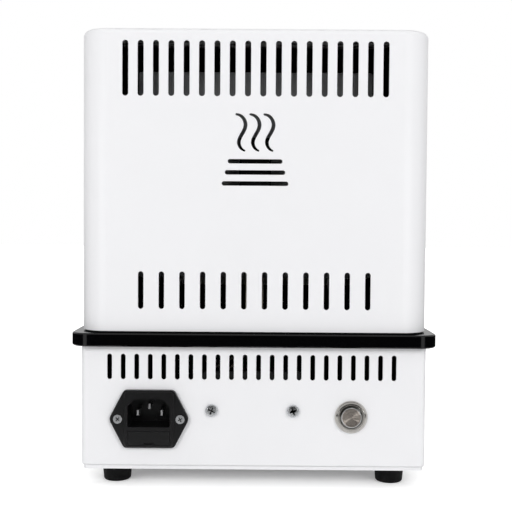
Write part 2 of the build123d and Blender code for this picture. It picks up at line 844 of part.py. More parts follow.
# Heating tubes: milky quartz, closed at the front, open at the back inside their caps
y_tube_back = y_can_back + tube_into_cap
tube_l = y_tube_back - y_tube_front
with BuildPart() as heating_tubes:
    with BuildSketch(from_front(y_tube_back)):
        with Locations(*tube_points):
            Circle(tube_r)
    extrude(amount=tube_l)
    fillet(heating_tubes.edges().group_by(Axis.Y)[0], tube_nose)
    with BuildSketch(from_front(y_tube_back)):
        with Locations(*tube_points):
            Circle(tube_bore_r)
    extrude(amount=tube_l - tube_nose, mode=Mode.SUBTRACT)
heating_tubes.part.label = "heating_tubes"
export_step(heating_tubes.part, "parts/heating_tubes.step")

# The wound element inside each tube, with the stud that leaves its cap
with BuildPart() as heater_elements:
    with BuildSketch(from_front(y_tube_back)):
        with Locations(*tube_points):
            Circle(winding_r)
    extrude(amount=tube_l - tube_nose - board_gap)
    with BuildSketch(from_front(y_cap_back + stud_reach)):
        with Locations(*tube_points):
            Circle(stud_r)
    extrude(amount=y_cap_back + stud_reach - y_tube_back)
heater_elements.part.label = "heater_elements"
export_step(heater_elements.part, "parts/heater_elements.step")

with BuildPart() as tube_caps:
    with BuildSketch(from_front(y_cap_back)):
        with Locations(*tube_points):
            Circle(cap_r)
    extrude(amount=cap_l)
    chamfer(tube_caps.edges().group_by(Axis.Y)[-1], tube_nose)
    drill(from_front(y_can_back), tube_points, tube_r + tap_clear, tube_into_cap + tap_clear)
    drill(from_front(y_can_back), tube_points, stud_r + tap_clear, cap_l)
tube_caps.part.label = "tube_caps"
export_step(tube_caps.part, "parts/tube_caps.step")

# Ceramic combs on the side walls that hold the tubes' front ends
comb_setback = comb_t
with BuildPart() as tube_supports:
    with BuildSketch(from_front(y_tube_front + comb_setback + comb_t)):
        with Locations(*[(side * (chamber_w - comb_in) / 2, z_chamber) for side in (-1, 1)]):
            Rectangle(comb_in, comb_h)
        with Locations(*tube_points):
            Circle(tube_r + tube_hole_clear / 2, mode=Mode.SUBTRACT)
    extrude(amount=comb_t)
tube_supports.part.label = "tube_supports"
export_step(tube_supports.part, "parts/tube_supports.step")

# Strips that join the studs of each side
bus_l = tube_pitch * (tube_rows - 1) + 2 * bus_extra
with BuildPart() as bus_bars:
    with BuildSketch(from_front(y_cap_back + bus_t)):
        with Locations((-tube_x, z_chamber), (tube_x, z_chamber)):
            SlotOverall(bus_l, bar_w, rotation=90)
        with Locations(*tube_points):
            Circle(stud_r + tap_clear, mode=Mode.SUBTRACT)
    extrude(amount=bus_t)
bus_bars.part.label = "bus_bars"
export_step(bus_bars.part, "parts/bus_bars.step")

# Thermocouple and the black head on the can's back
with BuildPart() as thermocouple:
    with BuildSketch(from_front(y_can_back + probe_into_head)):
        with Locations((0, z_probe)):
            Circle(probe_r)
    extrude(amount=y_can_back + probe_into_head - y_board_front + probe_reach)
    fillet(thermocouple.edges().group_by(Axis.Y)[0], probe_r * tip_share)
thermocouple.part.label = "thermocouple"
export_step(thermocouple.part, "parts/thermocouple.step")

z_head = z_probe - head_below
with BuildPart() as thermocouple_head:
    with BuildSketch(from_behind(y_can_back)):
        with Locations((0, z_head)):
            RectangleRounded(head_w, head_h, can_corner)
    extrude(amount=head_depth)
    chamfer(thermocouple_head.edges().group_by(Axis.Y)[-1], can_corner / 2)
    drill(from_front(y_can_back), [(0, z_probe)], probe_r + tap_clear, probe_into_head + tap_clear)
thermocouple_head.part.label = "thermocouple_head"
export_step(thermocouple_head.part, "parts/thermocouple_head.step")

# Hearth tile, firing tray and the pegs that carry the crowns
with BuildPart() as hearth_plate:
    with BuildSketch(Plane.XY.offset(z_floor)):
        with Locations((0, y_hearth)):
            RectangleRounded(hearth_w, hearth_l, mouth_corner)
    extrude(amount=hearth_t)
    chamfer(hearth_plate.edges().group_by(Axis.Z)[-1], tile_edge)
hearth_plate.part.label = "hearth_plate"
export_step(hearth_plate.part, "parts/hearth_plate.step")

tray_rings = int((tray_r - tray_hole_step) / (2 * tray_hole_step))
with BuildPart() as firing_tray:
    with BuildSketch(Plane.XY.offset(z_hearth)):
        with Locations((0, y_hearth)):
            Circle(tray_r)
    extrude(amount=tray_t)
    chamfer(firing_tray.edges().group_by(Axis.Z)[-1], tile_edge)
    with BuildSketch(Plane.XY.offset(z_hearth + tray_t)):
        with Locations((0, y_hearth)):
            Circle(tray_hole_r)
            for ring in range(1, tray_rings + 1):
                with PolarLocations(ring * 2 * tray_hole_step, 6 * ring):
                    Circle(tray_hole_r)
    extrude(amount=-tray_hole_depth, mode=Mode.SUBTRACT)
firing_tray.part.label = "firing_tray"
export_step(firing_tray.part, "parts/firing_tray.step")

with BuildPart() as firing_pegs:
    with BuildSketch(Plane.XY.offset(z_hearth + tray_t - tray_hole_depth)):
        with Locations((0, y_hearth)):
            with PolarLocations(peg_ring_r, peg_count):
                Circle(peg_r)
    extrude(amount=peg_l)
    fillet(firing_pegs.edges().group_by(Axis.Z)[-1], peg_r * tip_share)
firing_pegs.part.label = "firing_pegs"
export_step(firing_pegs.part, "parts/firing_pegs.step")

# Door pan, with tabs for its liner and holes for the hinge pins
tab_points = [(side * (door_w / 2 - door_t - tab_l / 2), z_chamber + z) for side in (-1, 1)
              for z in (-tab_z, tab_z)]
post_points = [(handle_x, z_chamber - post_z), (handle_x, z_chamber + post_z)]
post_points_behind = [(-x, z) for x, z in post_points]
with BuildPart() as door_shell:
    with BuildSketch(from_front(y_door_back)):
        with Locations((0, z_chamber)):
            RectangleRounded(door_w, door_h, door_corner)
    extrude(amount=door_depth)
    fillet(door_shell.edges().group_by(Axis.Y)[0], door_edge)
    offset(amount=-door_t, openings=door_shell.faces().sort_by(Axis.Y)[-1])
    with BuildSketch(from_front(y_door_back - liner_t)):
        with Locations(*tab_points):
            Rectangle(tab_l, tab_l)
    extrude(amount=door_t)
    drill(from_front(y_door_back - liner_t - door_t), tab_points, m3_r + tap_clear, door_t)
    drill(from_front(y_door_front), post_points, m4_r + screw_clear, door_t)
    with BuildSketch(Plane.XY.offset(z_chamber - door_h / 2)):
        with Locations((x_hinge, y_hinge)):
            Circle(pin_r + screw_clear)
    extrude(amount=door_h, mode=Mode.SUBTRACT)
door_shell.part.label = "door_shell"
export_step(door_shell.part, "parts/door_shell.step")

with BuildPart() as door_filling:
    with BuildSketch(from_front(y_door_back - liner_t)):
        with Locations((0, z_chamber)):
            Rectangle(filling_w, filling_h)
    extrude(amount=door_depth - liner_t - door_t)
    drill(from_front(y_door_front + door_t), post_points, m4_head_r + screw_clear, m4_head_h + board_gap)
door_filling.part.label = "door_filling"
export_step(door_filling.part, "parts/door_filling.step")

with BuildPart() as door_liner:
    with BuildSketch(from_front(y_door_back)):
        with Locations((0, z_chamber)):
            RectangleRounded(liner_w, liner_h, door_corner - door_t)
        with Locations(*tab_points):
            Circle(m3_r + screw_clear, mode=Mode.SUBTRACT)
    extrude(amount=liner_t)
door_liner.part.label = "door_liner"
export_step(door_liner.part, "parts/door_liner.step")

liner_screws = pan_screws(from_behind(y_door_back), tab_points, m3_head_r, m3_head_h, m3_r,
                          liner_t + door_t + m3_r)
liner_screws.part.label = "liner_screws"
export_step(liner_screws.part, "parts/liner_screws.step")

# Ceramic-fibre plug that closes the chamber's mouth, and the rope seal round it
with BuildPart() as door_plug:
    with BuildSketch(from_behind(y_door_back)):
        with Locations((0, z_chamber)):
            Rectangle(chamber_w - 2 * plug_clear, chamber_h - 2 * plug_clear)
    extrude(amount=plug_depth, taper=degrees(atan(plug_draft / plug_depth)))
door_plug.part.label = "door_plug"
export_step(door_plug.part, "parts/door_plug.step")

seal_in_w = (chamber_w + mouth_w) / 2 - seal_w
seal_in_h = (chamber_h + mouth_h) / 2 - seal_w
with BuildPart() as door_seal:
    with BuildSketch(from_behind(y_door_back)):
        with Locations((0, z_chamber)):
            RectangleRounded(seal_in_w + 2 * seal_w, seal_in_h + 2 * seal_w, mouth_corner + seal_w)
            RectangleRounded(seal_in_w, seal_in_h, mouth_corner, mode=Mode.SUBTRACT)
    extrude(amount=door_gap + case_t - seal_squash)
    fillet(door_seal.edges().group_by(Axis.Y)[-1], seal_round)
door_seal.part.label = "door_seal"
export_step(door_seal.part, "parts/door_seal.step")

with BuildPart() as door_magnets:
    with BuildSketch(from_front(y_door_back + magnet_t)):
        with Locations((magnet_x, z_chamber - magnet_z), (magnet_x, z_chamber + magnet_z)):
            Circle(magnet_r)
    extrude(amount=magnet_t)
    chamfer(door_magnets.edges().group_by(Axis.Y)[-1], magnet_edge)
door_magnets.part.label = "door_magnets"
export_step(door_magnets.part, "parts/door_magnets.step")

# Bar handle, its posts and the screws from inside the door
y_bar = y_door_front - handle_reach + handle_r
y_post_end = y_bar + handle_r - post_in_bar
with BuildPart() as door_handle:
    with BuildSketch(Plane(origin=(handle_x, y_bar, z_chamber - handle_l / 2))):
        Circle(handle_r)
    extrude(amount=handle_l)
    ends = door_handle.edges().group_by(Axis.Z)
    fillet(ends[0] + ends[-1], handle_round)
    drill(from_behind(y_bar + handle_r), post_points_behind, post_r + post_clear, post_in_bar)
door_handle.part.label = "door_handle"
export_step(door_handle.part, "parts/door_handle.step")

post_l = y_door_front - y_post_end
post_tap = post_l / 2
with BuildPart() as handle_posts:
    with BuildSketch(from_front(y_door_front)):
        with Locations(*post_points):
            Circle(post_r)
    extrude(amount=post_l)
    drill(from_behind(y_door_front), post_points_behind, m4_r + tap_clear, post_tap + tap_spare)
handle_posts.part.label = "handle_posts"
export_step(handle_posts.part, "parts/handle_posts.step")

handle_screws = pan_screws(from_behind(y_door_front + door_t), post_points_behind,
                           m4_head_r, m4_head_h, m4_r, door_t + post_tap)
handle_screws.part.label = "handle_screws"
export_step(handle_screws.part, "parts/handle_screws.step")

# Hinge: brackets on the casing, pins through their ears, blocks inside the door
with BuildPart() as hinge_brackets:
    for side in (-1, 1):
        inner = z_chamber + side * z_ear
        with BuildSketch(Plane.XY.offset(min(inner, inner + side * ear_t))):
            with Locations((x_hinge, (y_case_front + y_hinge) / 2)):
                Rectangle(2 * bracket_half, y_case_front - y_hinge)
            with Locations((x_hinge, y_hinge)):
                Circle(bracket_half)
        extrude(amount=ear_t)
        with BuildSketch(from_front(y_case_front)):
            with Locations((x_hinge, inner + side * bracket_flange_h / 2)):
                Rectangle(2 * bracket_half, bracket_flange_h)
        extrude(amount=bracket_t)
    drill(from_front(y_case_front - bracket_t), hinge_screw_points, m3_r + screw_clear, bracket_t)
    with BuildSketch(Plane.XY.offset(z_chamber - z_ear - ear_t)):
        with Locations((x_hinge, y_hinge)):
            Circle(pin_r + pin_press)
    extrude(amount=2 * (z_ear + ear_t), mode=Mode.SUBTRACT)
hinge_brackets.part.label = "hinge_brackets"
export_step(hinge_brackets.part, "parts/hinge_brackets.step")

pin_l = ear_t + ear_gap + block_top_gap + pin_in_block
with BuildPart() as hinge_pins:
    for side in (-1, 1):
        seat = z_chamber + side * (z_ear + ear_t)
        with BuildSketch(Plane.XY.offset(min(seat, seat - side * pin_l))):
            with Locations((x_hinge, y_hinge)):
                Circle(pin_r)
        extrude(amount=pin_l)
        with BuildSketch(Plane.XY.offset(min(seat, seat + side * pin_head_h))):
            with Locations((x_hinge, y_hinge)):
                Circle(pin_head_r)
        extrude(amount=pin_head_h)
hinge_pins.part.label = "hinge_pins"
export_step(hinge_pins.part, "parts/hinge_pins.step")

block_half = hinge_from_side - door_t
with BuildPart() as hinge_blocks:
    for side in (-1, 1):
        outer = z_chamber + side * (door_h / 2 - block_top_gap)
        with BuildSketch(Plane.XY.offset(min(outer, outer - side * block_h))):
            with Locations((x_hinge, y_hinge)):
                Rectangle(2 * block_half, 2 * block_y_half)
                Circle(pin_r + pin_running, mode=Mode.SUBTRACT)
        extrude(amount=block_h)
hinge_blocks.part.label = "hinge_blocks"
export_step(hinge_blocks.part, "parts/hinge_blocks.step")

# Mains inlet: flange, raised rim and a body with the socket and the drawer's bay
inlet_screw_points = [(inlet_x - inlet_screw_x, z_inlet), (inlet_x + inlet_screw_x, z_inlet)]
z_socket = z_inlet + socket_up
z_drawer = z_inlet - drawer_down
inlet_face = inlet_flange_t + inlet_rim_t
with BuildPart() as inlet_body:
    with BuildSketch(from_behind(y_base_back)) as flange:
        with Locations((inlet_x, z_inlet)):
            Rectangle(inlet_flange_w, inlet_flange_h)
        with Locations(*inlet_screw_points):
            Circle(inlet_ear_r)
        make_hull()
        sharp = flange.vertices().filter_by(lambda v: abs(abs(v.Y - z_inlet) - inlet_flange_h / 2) < 0.1)
        fillet(sharp, inlet_corner)
    extrude(amount=inlet_flange_t)
    chamfer(inlet_body.edges().group_by(Axis.Y)[-1], inlet_rim_t / 2)
    with BuildSketch(from_behind(y_base_back)):
        with Locations((inlet_x, z_inlet)):
            RectangleRounded(inlet_rim_w, inlet_rim_h, inlet_corner)
    extrude(amount=inlet_face)
    chamfer(inlet_body.edges().group_by(Axis.Y)[-1], inlet_rim_t / 2)
    with BuildSketch(from_behind(y_base_back)):
        with Locations((inlet_x, z_inlet)):
            Rectangle(inlet_body_w, inlet_body_h)
    extrude(amount=-inlet_body_depth)
    with BuildSketch(from_behind(y_base_back + inlet_face)) as mouth:
        with Locations((inlet_x, z_socket)):
            Rectangle(socket_w, socket_h)
        chamfer(mouth.vertices().group_by(Axis.Y)[-1], socket_bevel)
        fillet(mouth.vertices().group_by(Axis.Y)[0], inlet_rim_t)
    extrude(amount=-socket_depth, mode=Mode.SUBTRACT)
    with BuildSketch(from_behind(y_base_back + inlet_face)):
        with Locations((inlet_x, z_drawer)):
            Rectangle(drawer_w + 2 * drawer_clear, drawer_h + 2 * drawer_clear)
    extrude(amount=-drawer_l - drawer_clear, mode=Mode.SUBTRACT)
    with BuildSketch(from_behind(y_base_back + inlet_face - socket_depth)):
        with Locations((inlet_x - blade_pitch / 2, z_socket - blade_down),
                       (inlet_x + blade_pitch / 2, z_socket - blade_down),
                       (inlet_x, z_socket + earth_up)):
            Rectangle(blade_w + 2 * tap_clear, blade_h + 2 * tap_clear)
    extrude(amount=-inlet_body_depth, mode=Mode.SUBTRACT)
    drill(from_behind(y_base_back + inlet_flange_t), inlet_screw_points, m3_r + screw_clear, inlet_flange_t)
    for point in inlet_screw_points:
        with BuildSketch(from_behind(y_base_back + inlet_flange_t)):
            with Locations(point):
                Circle(m3_head_r + tap_clear)
        with BuildSketch(from_behind(y_base_back + inlet_flange_t - m3_head_r + m3_r)):
            with Locations(point):
                Circle(m3_r + tap_clear)
        loft(mode=Mode.SUBTRACT)
inlet_body.part.label = "inlet_body"
export_step(inlet_body.part, "parts/inlet_body.step")

# Three blades, earth longest, with tails behind the inlet
with BuildPart() as inlet_pins:
    for x, z, reach in ((inlet_x - blade_pitch / 2, z_socket - blade_down, blade_l),
                        (inlet_x + blade_pitch / 2, z_socket - blade_down, blade_l),
                        (inlet_x, z_socket + earth_up, earth_l)):
        with BuildSketch(from_behind(y_base_back - inlet_body_depth - blade_tail)):
            with Locations((x, z)):
                Rectangle(blade_w, blade_h)
        extrude(amount=inlet_body_depth + blade_tail + inlet_face - socket_depth + reach)
    chamfer(inlet_pins.faces().filter_by(Axis.Y).group_by(Axis.Y)[-1].edges(), blade_w / 4)
    chamfer(inlet_pins.faces().filter_by(Axis.Y).group_by(Axis.Y)[-2].edges(), blade_w / 4)
inlet_pins.part.label = "inlet_pins"
export_step(inlet_pins.part, "parts/inlet_pins.step")

# Countersunk screws of the inlet, with their nuts behind the panel
with BuildPart() as inlet_screws:
    for point in inlet_screw_points:
        with BuildSketch(from_behind(y_base_back + inlet_flange_t)):
            with Locations(point):
                Circle(m3_head_r)
        with BuildSketch(from_behind(y_base_back + inlet_flange_t - m3_head_r + m3_r)):
            with Locations(point):
                Circle(m3_r)
        loft()
    with BuildSketch(from_behind(y_base_back + inlet_flange_t)):
        with Locations(*inlet_screw_points):
            Rectangle(2 * m3_head_r * recess_share, m3_head_r * recess_slit)
            Rectangle(m3_head_r * recess_slit, 2 * m3_head_r * recess_share)
    extrude(amount=-m3_r / 2, mode=Mode.SUBTRACT)
    with BuildSketch(from_behind(y_base_back + inlet_flange_t - m3_head_r + m3_r)):
        with Locations(*inlet_screw_points):
            Circle(m3_r)
    extrude(amount=-(inlet_flange_t + base_t + nut_t))
    with BuildSketch(from_behind(y_panel)):
        with Locations(*inlet_screw_points):
            RegularPolygon(nut_r, 6)
    extrude(amount=-nut_t)
inlet_screws.part.label = "inlet_screws"
export_step(inlet_screws.part, "parts/inlet_screws.step")

# Fuse drawer with two cross pockets, and the fuse with its spare
y_drawer = y_base_back + inlet_face
fuse_rows = [drawer_front_t + fuse_rib + fuse_pocket / 2, drawer_front_t + 2 * fuse_rib + 1.5 * fuse_pocket]
with BuildPart() as fuse_drawer:
    with BuildSketch(from_behind(y_drawer)):
        with Locations((inlet_x, z_drawer)):
            Rectangle(drawer_w, drawer_h)
    extrude(amount=-drawer_l)
    for row in fuse_rows:
        with BuildSketch(Plane.XY.offset(z_drawer + drawer_h / 2)):
            with Locations((-inlet_x, y_drawer - row)):
                Rectangle(fuse_l + 2 * drawer_clear, fuse_pocket)
        extrude(amount=-(drawer_h - drawer_floor), mode=Mode.SUBTRACT)
    with BuildSketch(from_behind(y_drawer)):
        with Locations((inlet_x, z_drawer - drawer_h / 2 + drawer_notch_h)):
            Rectangle(drawer_notch_w, drawer_notch_h)
    extrude(amount=-drawer_notch_depth, mode=Mode.SUBTRACT)
fuse_drawer.part.label = "fuse_drawer"
export_step(fuse_drawer.part, "parts/fuse_drawer.step")

z_fuse = z_drawer - drawer_h / 2 + drawer_floor + fuse_r + board_gap / 2
with BuildPart() as fuses:
    for row in fuse_rows:
        with BuildSketch(Plane(origin=(-inlet_x - fuse_l / 2, y_drawer - row, z_fuse), z_dir=(1, 0, 0))):
            Circle(fuse_r)
        extrude(amount=fuse_l)
fuses.part.label = "fuses"
export_step(fuses.part, "parts/fuses.step")

# Push button: steel bezel with its thread, the sprung cap and its stem, the nut and the switch behind
with BuildPart() as switch_bezel:
    with BuildSketch(from_behind(y_base_back)):
        with Locations((button_x, z_button)):
            Circle(bezel_r)
    extrude(amount=bezel_h)
    chamfer(switch_bezel.edges().group_by(Axis.Y)[-1], bezel_r - bezel_face_r)
    with BuildSketch(from_behind(y_base_back)):
        with Locations((button_x, z_button)):
            Circle(thread_r)
    extrude(amount=-thread_l)
    drill(from_behind(y_base_back + bezel_h), [(button_x, z_button)], bezel_step_r, bezel_step_h)
    drill(from_behind(y_base_back + bezel_h), [(button_x, z_button)], bezel_bore_r, bezel_h + thread_l)
switch_bezel.part.label = "switch_bezel"
export_step(switch_bezel.part, "parts/switch_bezel.step")

with BuildPart() as switch_button:
    with BuildSketch(from_behind(y_base_back + bezel_h + button_proud)):
        with Locations((button_x, z_button)):
            Circle(button_r)
    extrude(amount=-(bezel_h + button_proud + button_in))
    chamfer(switch_button.edges().group_by(Axis.Y)[-1], button_edge)
    with BuildSketch(from_behind(y_base_back - button_in)):
        with Locations((button_x, z_button)):
            Circle(button_lip_r)
    extrude(amount=button_lip_t)
    with BuildSketch(from_behind(y_base_back - button_in)):
        with Locations((button_x, z_button)):
            Circle(stem_r)
    extrude(amount=-stem_l)
switch_button.part.label = "switch_button"
export_step(switch_button.part, "parts/switch_button.step")

with BuildPart() as switch_nut:
    with BuildSketch(from_behind(y_panel)):
        with Locations((button_x, z_button)):
            RegularPolygon(switch_nut_r, 6)
            Circle(thread_r + tap_clear, mode=Mode.SUBTRACT)
    extrude(amount=-switch_nut_t)
switch_nut.part.label = "switch_nut"
export_step(switch_nut.part, "parts/switch_nut.step")

y_switch = y_base_back - thread_l
y_guide = y_base_back - button_in - button_travel - guide_gap
with BuildPart() as switch_body:
    with BuildSketch(from_behind(y_switch)):
        with Locations((button_x, z_button)):
            Circle(switch_body_r)
    extrude(amount=-switch_body_l)
    with BuildSketch(from_behind(y_switch)):
        with Locations((button_x, z_button)):
            Circle(guide_r)
    extrude(amount=y_guide - y_switch)
    drill(from_behind(y_guide), [(button_x, z_button)], stem_r + pin_running, stem_l)
    with BuildSketch(from_behind(y_switch - switch_body_l)):
        with Locations((button_x - switch_tab_x, z_button), (button_x + switch_tab_x, z_button)):
            Rectangle(switch_tab_t, switch_tab_w)
    extrude(amount=-switch_tab_l)
switch_body.part.label = "switch_body"
export_step(switch_body.part, "parts/switch_body.step")

# Relay on the inside of the back panel
with BuildPart() as relay:
    with BuildSketch(from_behind(y_panel)):
        with Locations((relay_x, z_relay)):
            RectangleRounded(relay_w, relay_h, relay_round)
    extrude(amount=-relay_base_t)
    with BuildSketch(from_behind(y_panel - relay_base_t)):
        with Locations((relay_x, z_relay)):
            RectangleRounded(relay_body_w, relay_body_h, relay_round)
        with Locations(*relay_screw_points):
            Circle(relay_notch_r, mode=Mode.SUBTRACT)
    extrude(amount=-relay_body_depth)
    with BuildSketch(from_behind(y_panel - relay_base_t - relay_body_depth)):
        with Locations(*relay_posts):
            Circle(relay_post_r)
    extrude(amount=-relay_post_h)
    drill(from_behind(y_panel), relay_screw_points, m4_r + tap_clear, relay_base_t)
relay.part.label = "relay"
export_step(relay.part, "parts/relay.step")

relay_screws = pan_screws(from_behind(y_base_back), relay_screw_points, m4_head_r, m4_head_h, m4_r,
                          base_t + relay_base_t + m4_r)
relay_screws.part.label = "relay_screws"
export_step(relay_screws.part, "parts/relay_screws.step")

# Touch panel: glass on the base's front, the display behind it, then the control board
with BuildPart() as display_glass:
    with BuildSketch(from_front(y_base_front)):
        with Locations((0, z_glass)):
            RectangleRounded(glass_w, glass_h, glass_corner)
    extrude(amount=glass_t)
    chamfer(display_glass.edges().group_by(Axis.Y)[0], glass_bevel)
display_glass.part.label = "display_glass"
export_step(display_glass.part, "parts/display_glass.step")

with BuildPart() as display_module:
    with BuildSketch(from_behind(y_base_front)):
        with Locations((0, z_glass)):
            Rectangle(module_w, module_h)
    extrude(amount=module_t)
display_module.part.label = "display_module"
export_step(display_module.part, "parts/display_module.step")

with BuildPart() as control_board:
    with BuildSketch(from_behind(y_control)):
        with Locations((0, z_glass)):
            Rectangle(board_w, board_h)
    extrude(amount=board_t)
    with BuildSketch(from_behind(y_base_front + base_t)):
        with Locations((0, z_glass)):
            with GridLocations(board_w - 2 * pillar_inset, board_h - 2 * pillar_inset, 2, 2):
                Circle(pillar_r)
    extrude(amount=module_t - base_t)
    with BuildSketch(from_behind(y_control + board_t)):
        with Locations((board_w / 4, z_glass - board_h / 8)):
            Rectangle(chip_w, chip_w)
    extrude(amount=chip_t)
    with BuildSketch(from_behind(y_control + board_t)):
        with Locations(*[(-x, z) for x, z in header_points]):
            Rectangle(header_w, header_h)
    extrude(amount=header_t)
control_board.part.label = "control_board"
export_step(control_board.part, "parts/control_board.step")

# Open power supply on the cover's pillars: transformer, terminal block, two capacitors and a header
z_board_top = z_supply + board_t
with BuildPart() as power_supply:
    with BuildSketch(Plane.XY.offset(z_supply)):
        with Locations((supply_x, supply_y)):
            Rectangle(supply_w, supply_l)
    extrude(amount=board_t)
    drill(Plane.XY.offset(z_board_top), supply_pillars, m3_r + screw_clear, board_t)
    with BuildSketch(Plane.XY.offset(z_board_top)):
        with Locations((supply_x, supply_y)):
            Rectangle(transformer_w, transformer_w)
    extrude(amount=transformer_h)
    with BuildSketch(Plane.XY.offset(z_board_top)):
        with Locations((supply_x, supply_y + supply_l / 2 - block_in)):
            Rectangle(block_w, block_l)
    extrude(amount=terminal_h)
    with BuildSketch(Plane.XY.offset(z_board_top)):
        with Locations(*[(supply_x + x, supply_y - capacitor_y) for x in (-capacitor_x, capacitor_x)]):
            Circle(capacitor_r)
    extrude(amount=capacitor_h)
    with BuildSketch(Plane.XY.offset(z_board_top)):
        with Locations((supply_x, supply_y - supply_l / 2 + header_h / 2)):
            Rectangle(header_w, header_h)
    extrude(amount=header_t)
power_supply.part.label = "power_supply"
export_step(power_supply.part, "parts/power_supply.step")


def bend_radius(before, corner, after):
    """The largest arc that two runs of a lead leave room for, up to the usual bend."""
    first = Vector(*corner) - Vector(*before)
    second = Vector(*after) - Vector(*corner)
    turn = radians(first.get_angle(second))
    return min(lead_bend, lead_share * min(first.length, second.length) / tan(turn / 2))


def lead(points):
    """One insulated lead: straight runs between the points, joined by arcs."""
    radii = [bend_radius(*points[i - 1:i + 2]) for i in range(1, len(points) - 1)]
    with BuildPart() as run:
        with BuildLine() as route:
            FilletPolyline(*points, radius=radii)
        with BuildSketch(Plane(origin=route.line @ 0, z_dir=route.line % 0)):
            Circle(lead_r)
        sweep()
    print("lead of", round(route.wire().length), "mm, bends", [round(radius, 1) for radius in radii])
    return run.part


# Leads in the base: inlet to switch, switch to relay, inlet to supply, supply and relay to the board
x_live, x_neutral = -inlet_x + blade_pitch / 2, -inlet_x - blade_pitch / 2
x_tab_far, x_tab_near = -button_x - switch_tab_x, -button_x + switch_tab_x
x_post_left, x_post_right = -relay_x + relay_post_x, -relay_x - relay_post_x
z_blades = z_socket - blade_down
z_post_top, z_post_low = z_relay + relay_post_z, z_relay - relay_post_z
y_blade_end = y_base_back - inlet_body_depth - blade_tail
y_tab_end = y_switch - switch_body_l - switch_tab_l
y_post = y_panel - relay_base_t - relay_body_depth - relay_post_h
y_block = supply_y + supply_l / 2 - block_in + block_l / 2
y_supply_front = supply_y - supply_l / 2
z_block = z_board_top + terminal_h / 2
z_supply_header = z_board_top + header_t / 2
y_crossing = y_tab_end - 2 * lead_exit
z_crossing = z_relay + relay_post_h
with BuildPart() as base_leads:
    add(lead([(x_live, y_blade_end, z_blades),
              (x_live, y_blade_end - lead_exit, z_blades),
              (x_neutral, y_crossing, z_crossing),
              (x_tab_near, y_crossing, z_crossing),
              (x_tab_far, y_tab_end - lead_exit, z_button),
              (x_tab_far, y_tab_end, z_button)]))
    add(lead([(x_tab_near, y_tab_end, z_button),
              (x_tab_near, y_tab_end - lead_over, z_button),
              (x_post_right, y_post - lead_exit, z_post_top),
              (x_post_right, y_post, z_post_top)]))
    add(lead([(x_neutral, y_blade_end, z_blades),
              (x_neutral, y_blade_end - lead_exit, z_blades),
              (x_neutral, y_block + lead_exit, z_block),
              (x_neutral, y_block, z_block)]))
    add(lead([(supply_x, y_supply_front, z_supply_header),
              (supply_x, y_supply_front - lead_over / 2, z_supply_header),
              (header_side, y_header + lead_over / 2, z_header_low),
              (header_side, y_header, z_header_low)]))
    for side, x_post in ((-1, x_post_right), (1, x_post_left)):
        add(lead([(x_post, y_post, z_post_low),
                  (x_post, y_post - lead_exit, z_post_low),
                  (side * lead_spread, y_post - 3 * lead_exit, z_header_low),
                  (side * lead_spread, y_header, z_header_low)]))
base_leads.part.label = "base_leads"
export_step(base_leads.part, "parts/base_leads.step")

# Heater leads: from the relay and from the terminal block, up through the grommet to the bus bars
z_under = z_plate - grommet_lip_t - lead_r - 5 * lead_r
z_bus_end = z_chamber - bus_l / 2 + bus_extra / 2
y_bus_back = y_cap_back + bus_t
x_block_end = supply_x - block_w / 4
with BuildPart() as heater_leads:
    for side, start in ((1, [(x_post_left, y_post, z_post_top),
                             (x_post_left, y_post - lead_exit, z_post_top),
                             (lead_spread, y_post - lead_exit, z_under)]),
                        (-1, [(x_block_end, y_block, z_block),
                              (x_block_end, y_block + lead_over, z_block),
                              (x_block_end - lead_over, y_block + lead_over, z_post_top),
                              (-lead_spread, y_crossing + lead_over / 2, z_under)])):
        add(lead(start + [(side * lead_spread, y_cable, z_under),
                          (side * lead_spread, y_cable, z_can + lead_over),
                          (side * tube_x, y_cable + lead_over, z_bus_end),
                          (side * tube_x, y_bus_back, z_bus_end)]))
heater_leads.part.label = "heater_leads"
export_step(heater_leads.part, "parts/heater_leads.step")

# Thermocouple lead: from the head down through the grommet and forward to the control board
z_head_end = z_head - head_h / 2
y_head = y_can_back + head_depth / 2
with BuildPart() as thermocouple_lead:
    add(lead([(0, y_head, z_head_end),
              (0, y_head, z_head_end - lead_exit),
              (0, y_cable, z_head_end - 2.2 * lead_exit),
              (0, y_cable, z_header_top),
              (0, y_header, z_header_top)]))
thermocouple_lead.part.label = "thermocouple_lead"
export_step(thermocouple_lead.part, "parts/thermocouple_lead.step")
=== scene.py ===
from math import cos, floor, pi, radians, sin, tau

import bmesh
import bpy
from bpy.props import FloatProperty, FloatVectorProperty, IntProperty, PointerProperty
from mathutils import Matrix, Vector


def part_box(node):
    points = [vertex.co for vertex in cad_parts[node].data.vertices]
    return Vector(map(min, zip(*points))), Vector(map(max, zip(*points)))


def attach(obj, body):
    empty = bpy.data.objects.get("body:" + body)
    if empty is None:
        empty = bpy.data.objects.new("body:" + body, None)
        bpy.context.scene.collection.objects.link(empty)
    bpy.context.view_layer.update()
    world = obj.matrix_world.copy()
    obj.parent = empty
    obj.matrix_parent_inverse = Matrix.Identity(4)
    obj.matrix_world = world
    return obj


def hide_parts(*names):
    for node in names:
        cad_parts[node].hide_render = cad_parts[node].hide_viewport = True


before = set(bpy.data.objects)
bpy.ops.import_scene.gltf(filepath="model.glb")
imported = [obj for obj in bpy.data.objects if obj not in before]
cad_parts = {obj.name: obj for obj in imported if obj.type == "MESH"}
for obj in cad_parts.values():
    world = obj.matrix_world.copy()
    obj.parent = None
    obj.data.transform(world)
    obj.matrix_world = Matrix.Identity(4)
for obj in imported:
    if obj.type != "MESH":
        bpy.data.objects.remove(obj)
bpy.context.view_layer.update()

bl_info = {
    "name": "Glazing furnace",
    "version": (1, 0, 0),
    "blender": (4, 5, 0),
    "location": "3D View > Sidebar > Furnace",
    "description": "Finishes a small dental glazing furnace and sets it in a plain studio",
    "category": "Object",
}

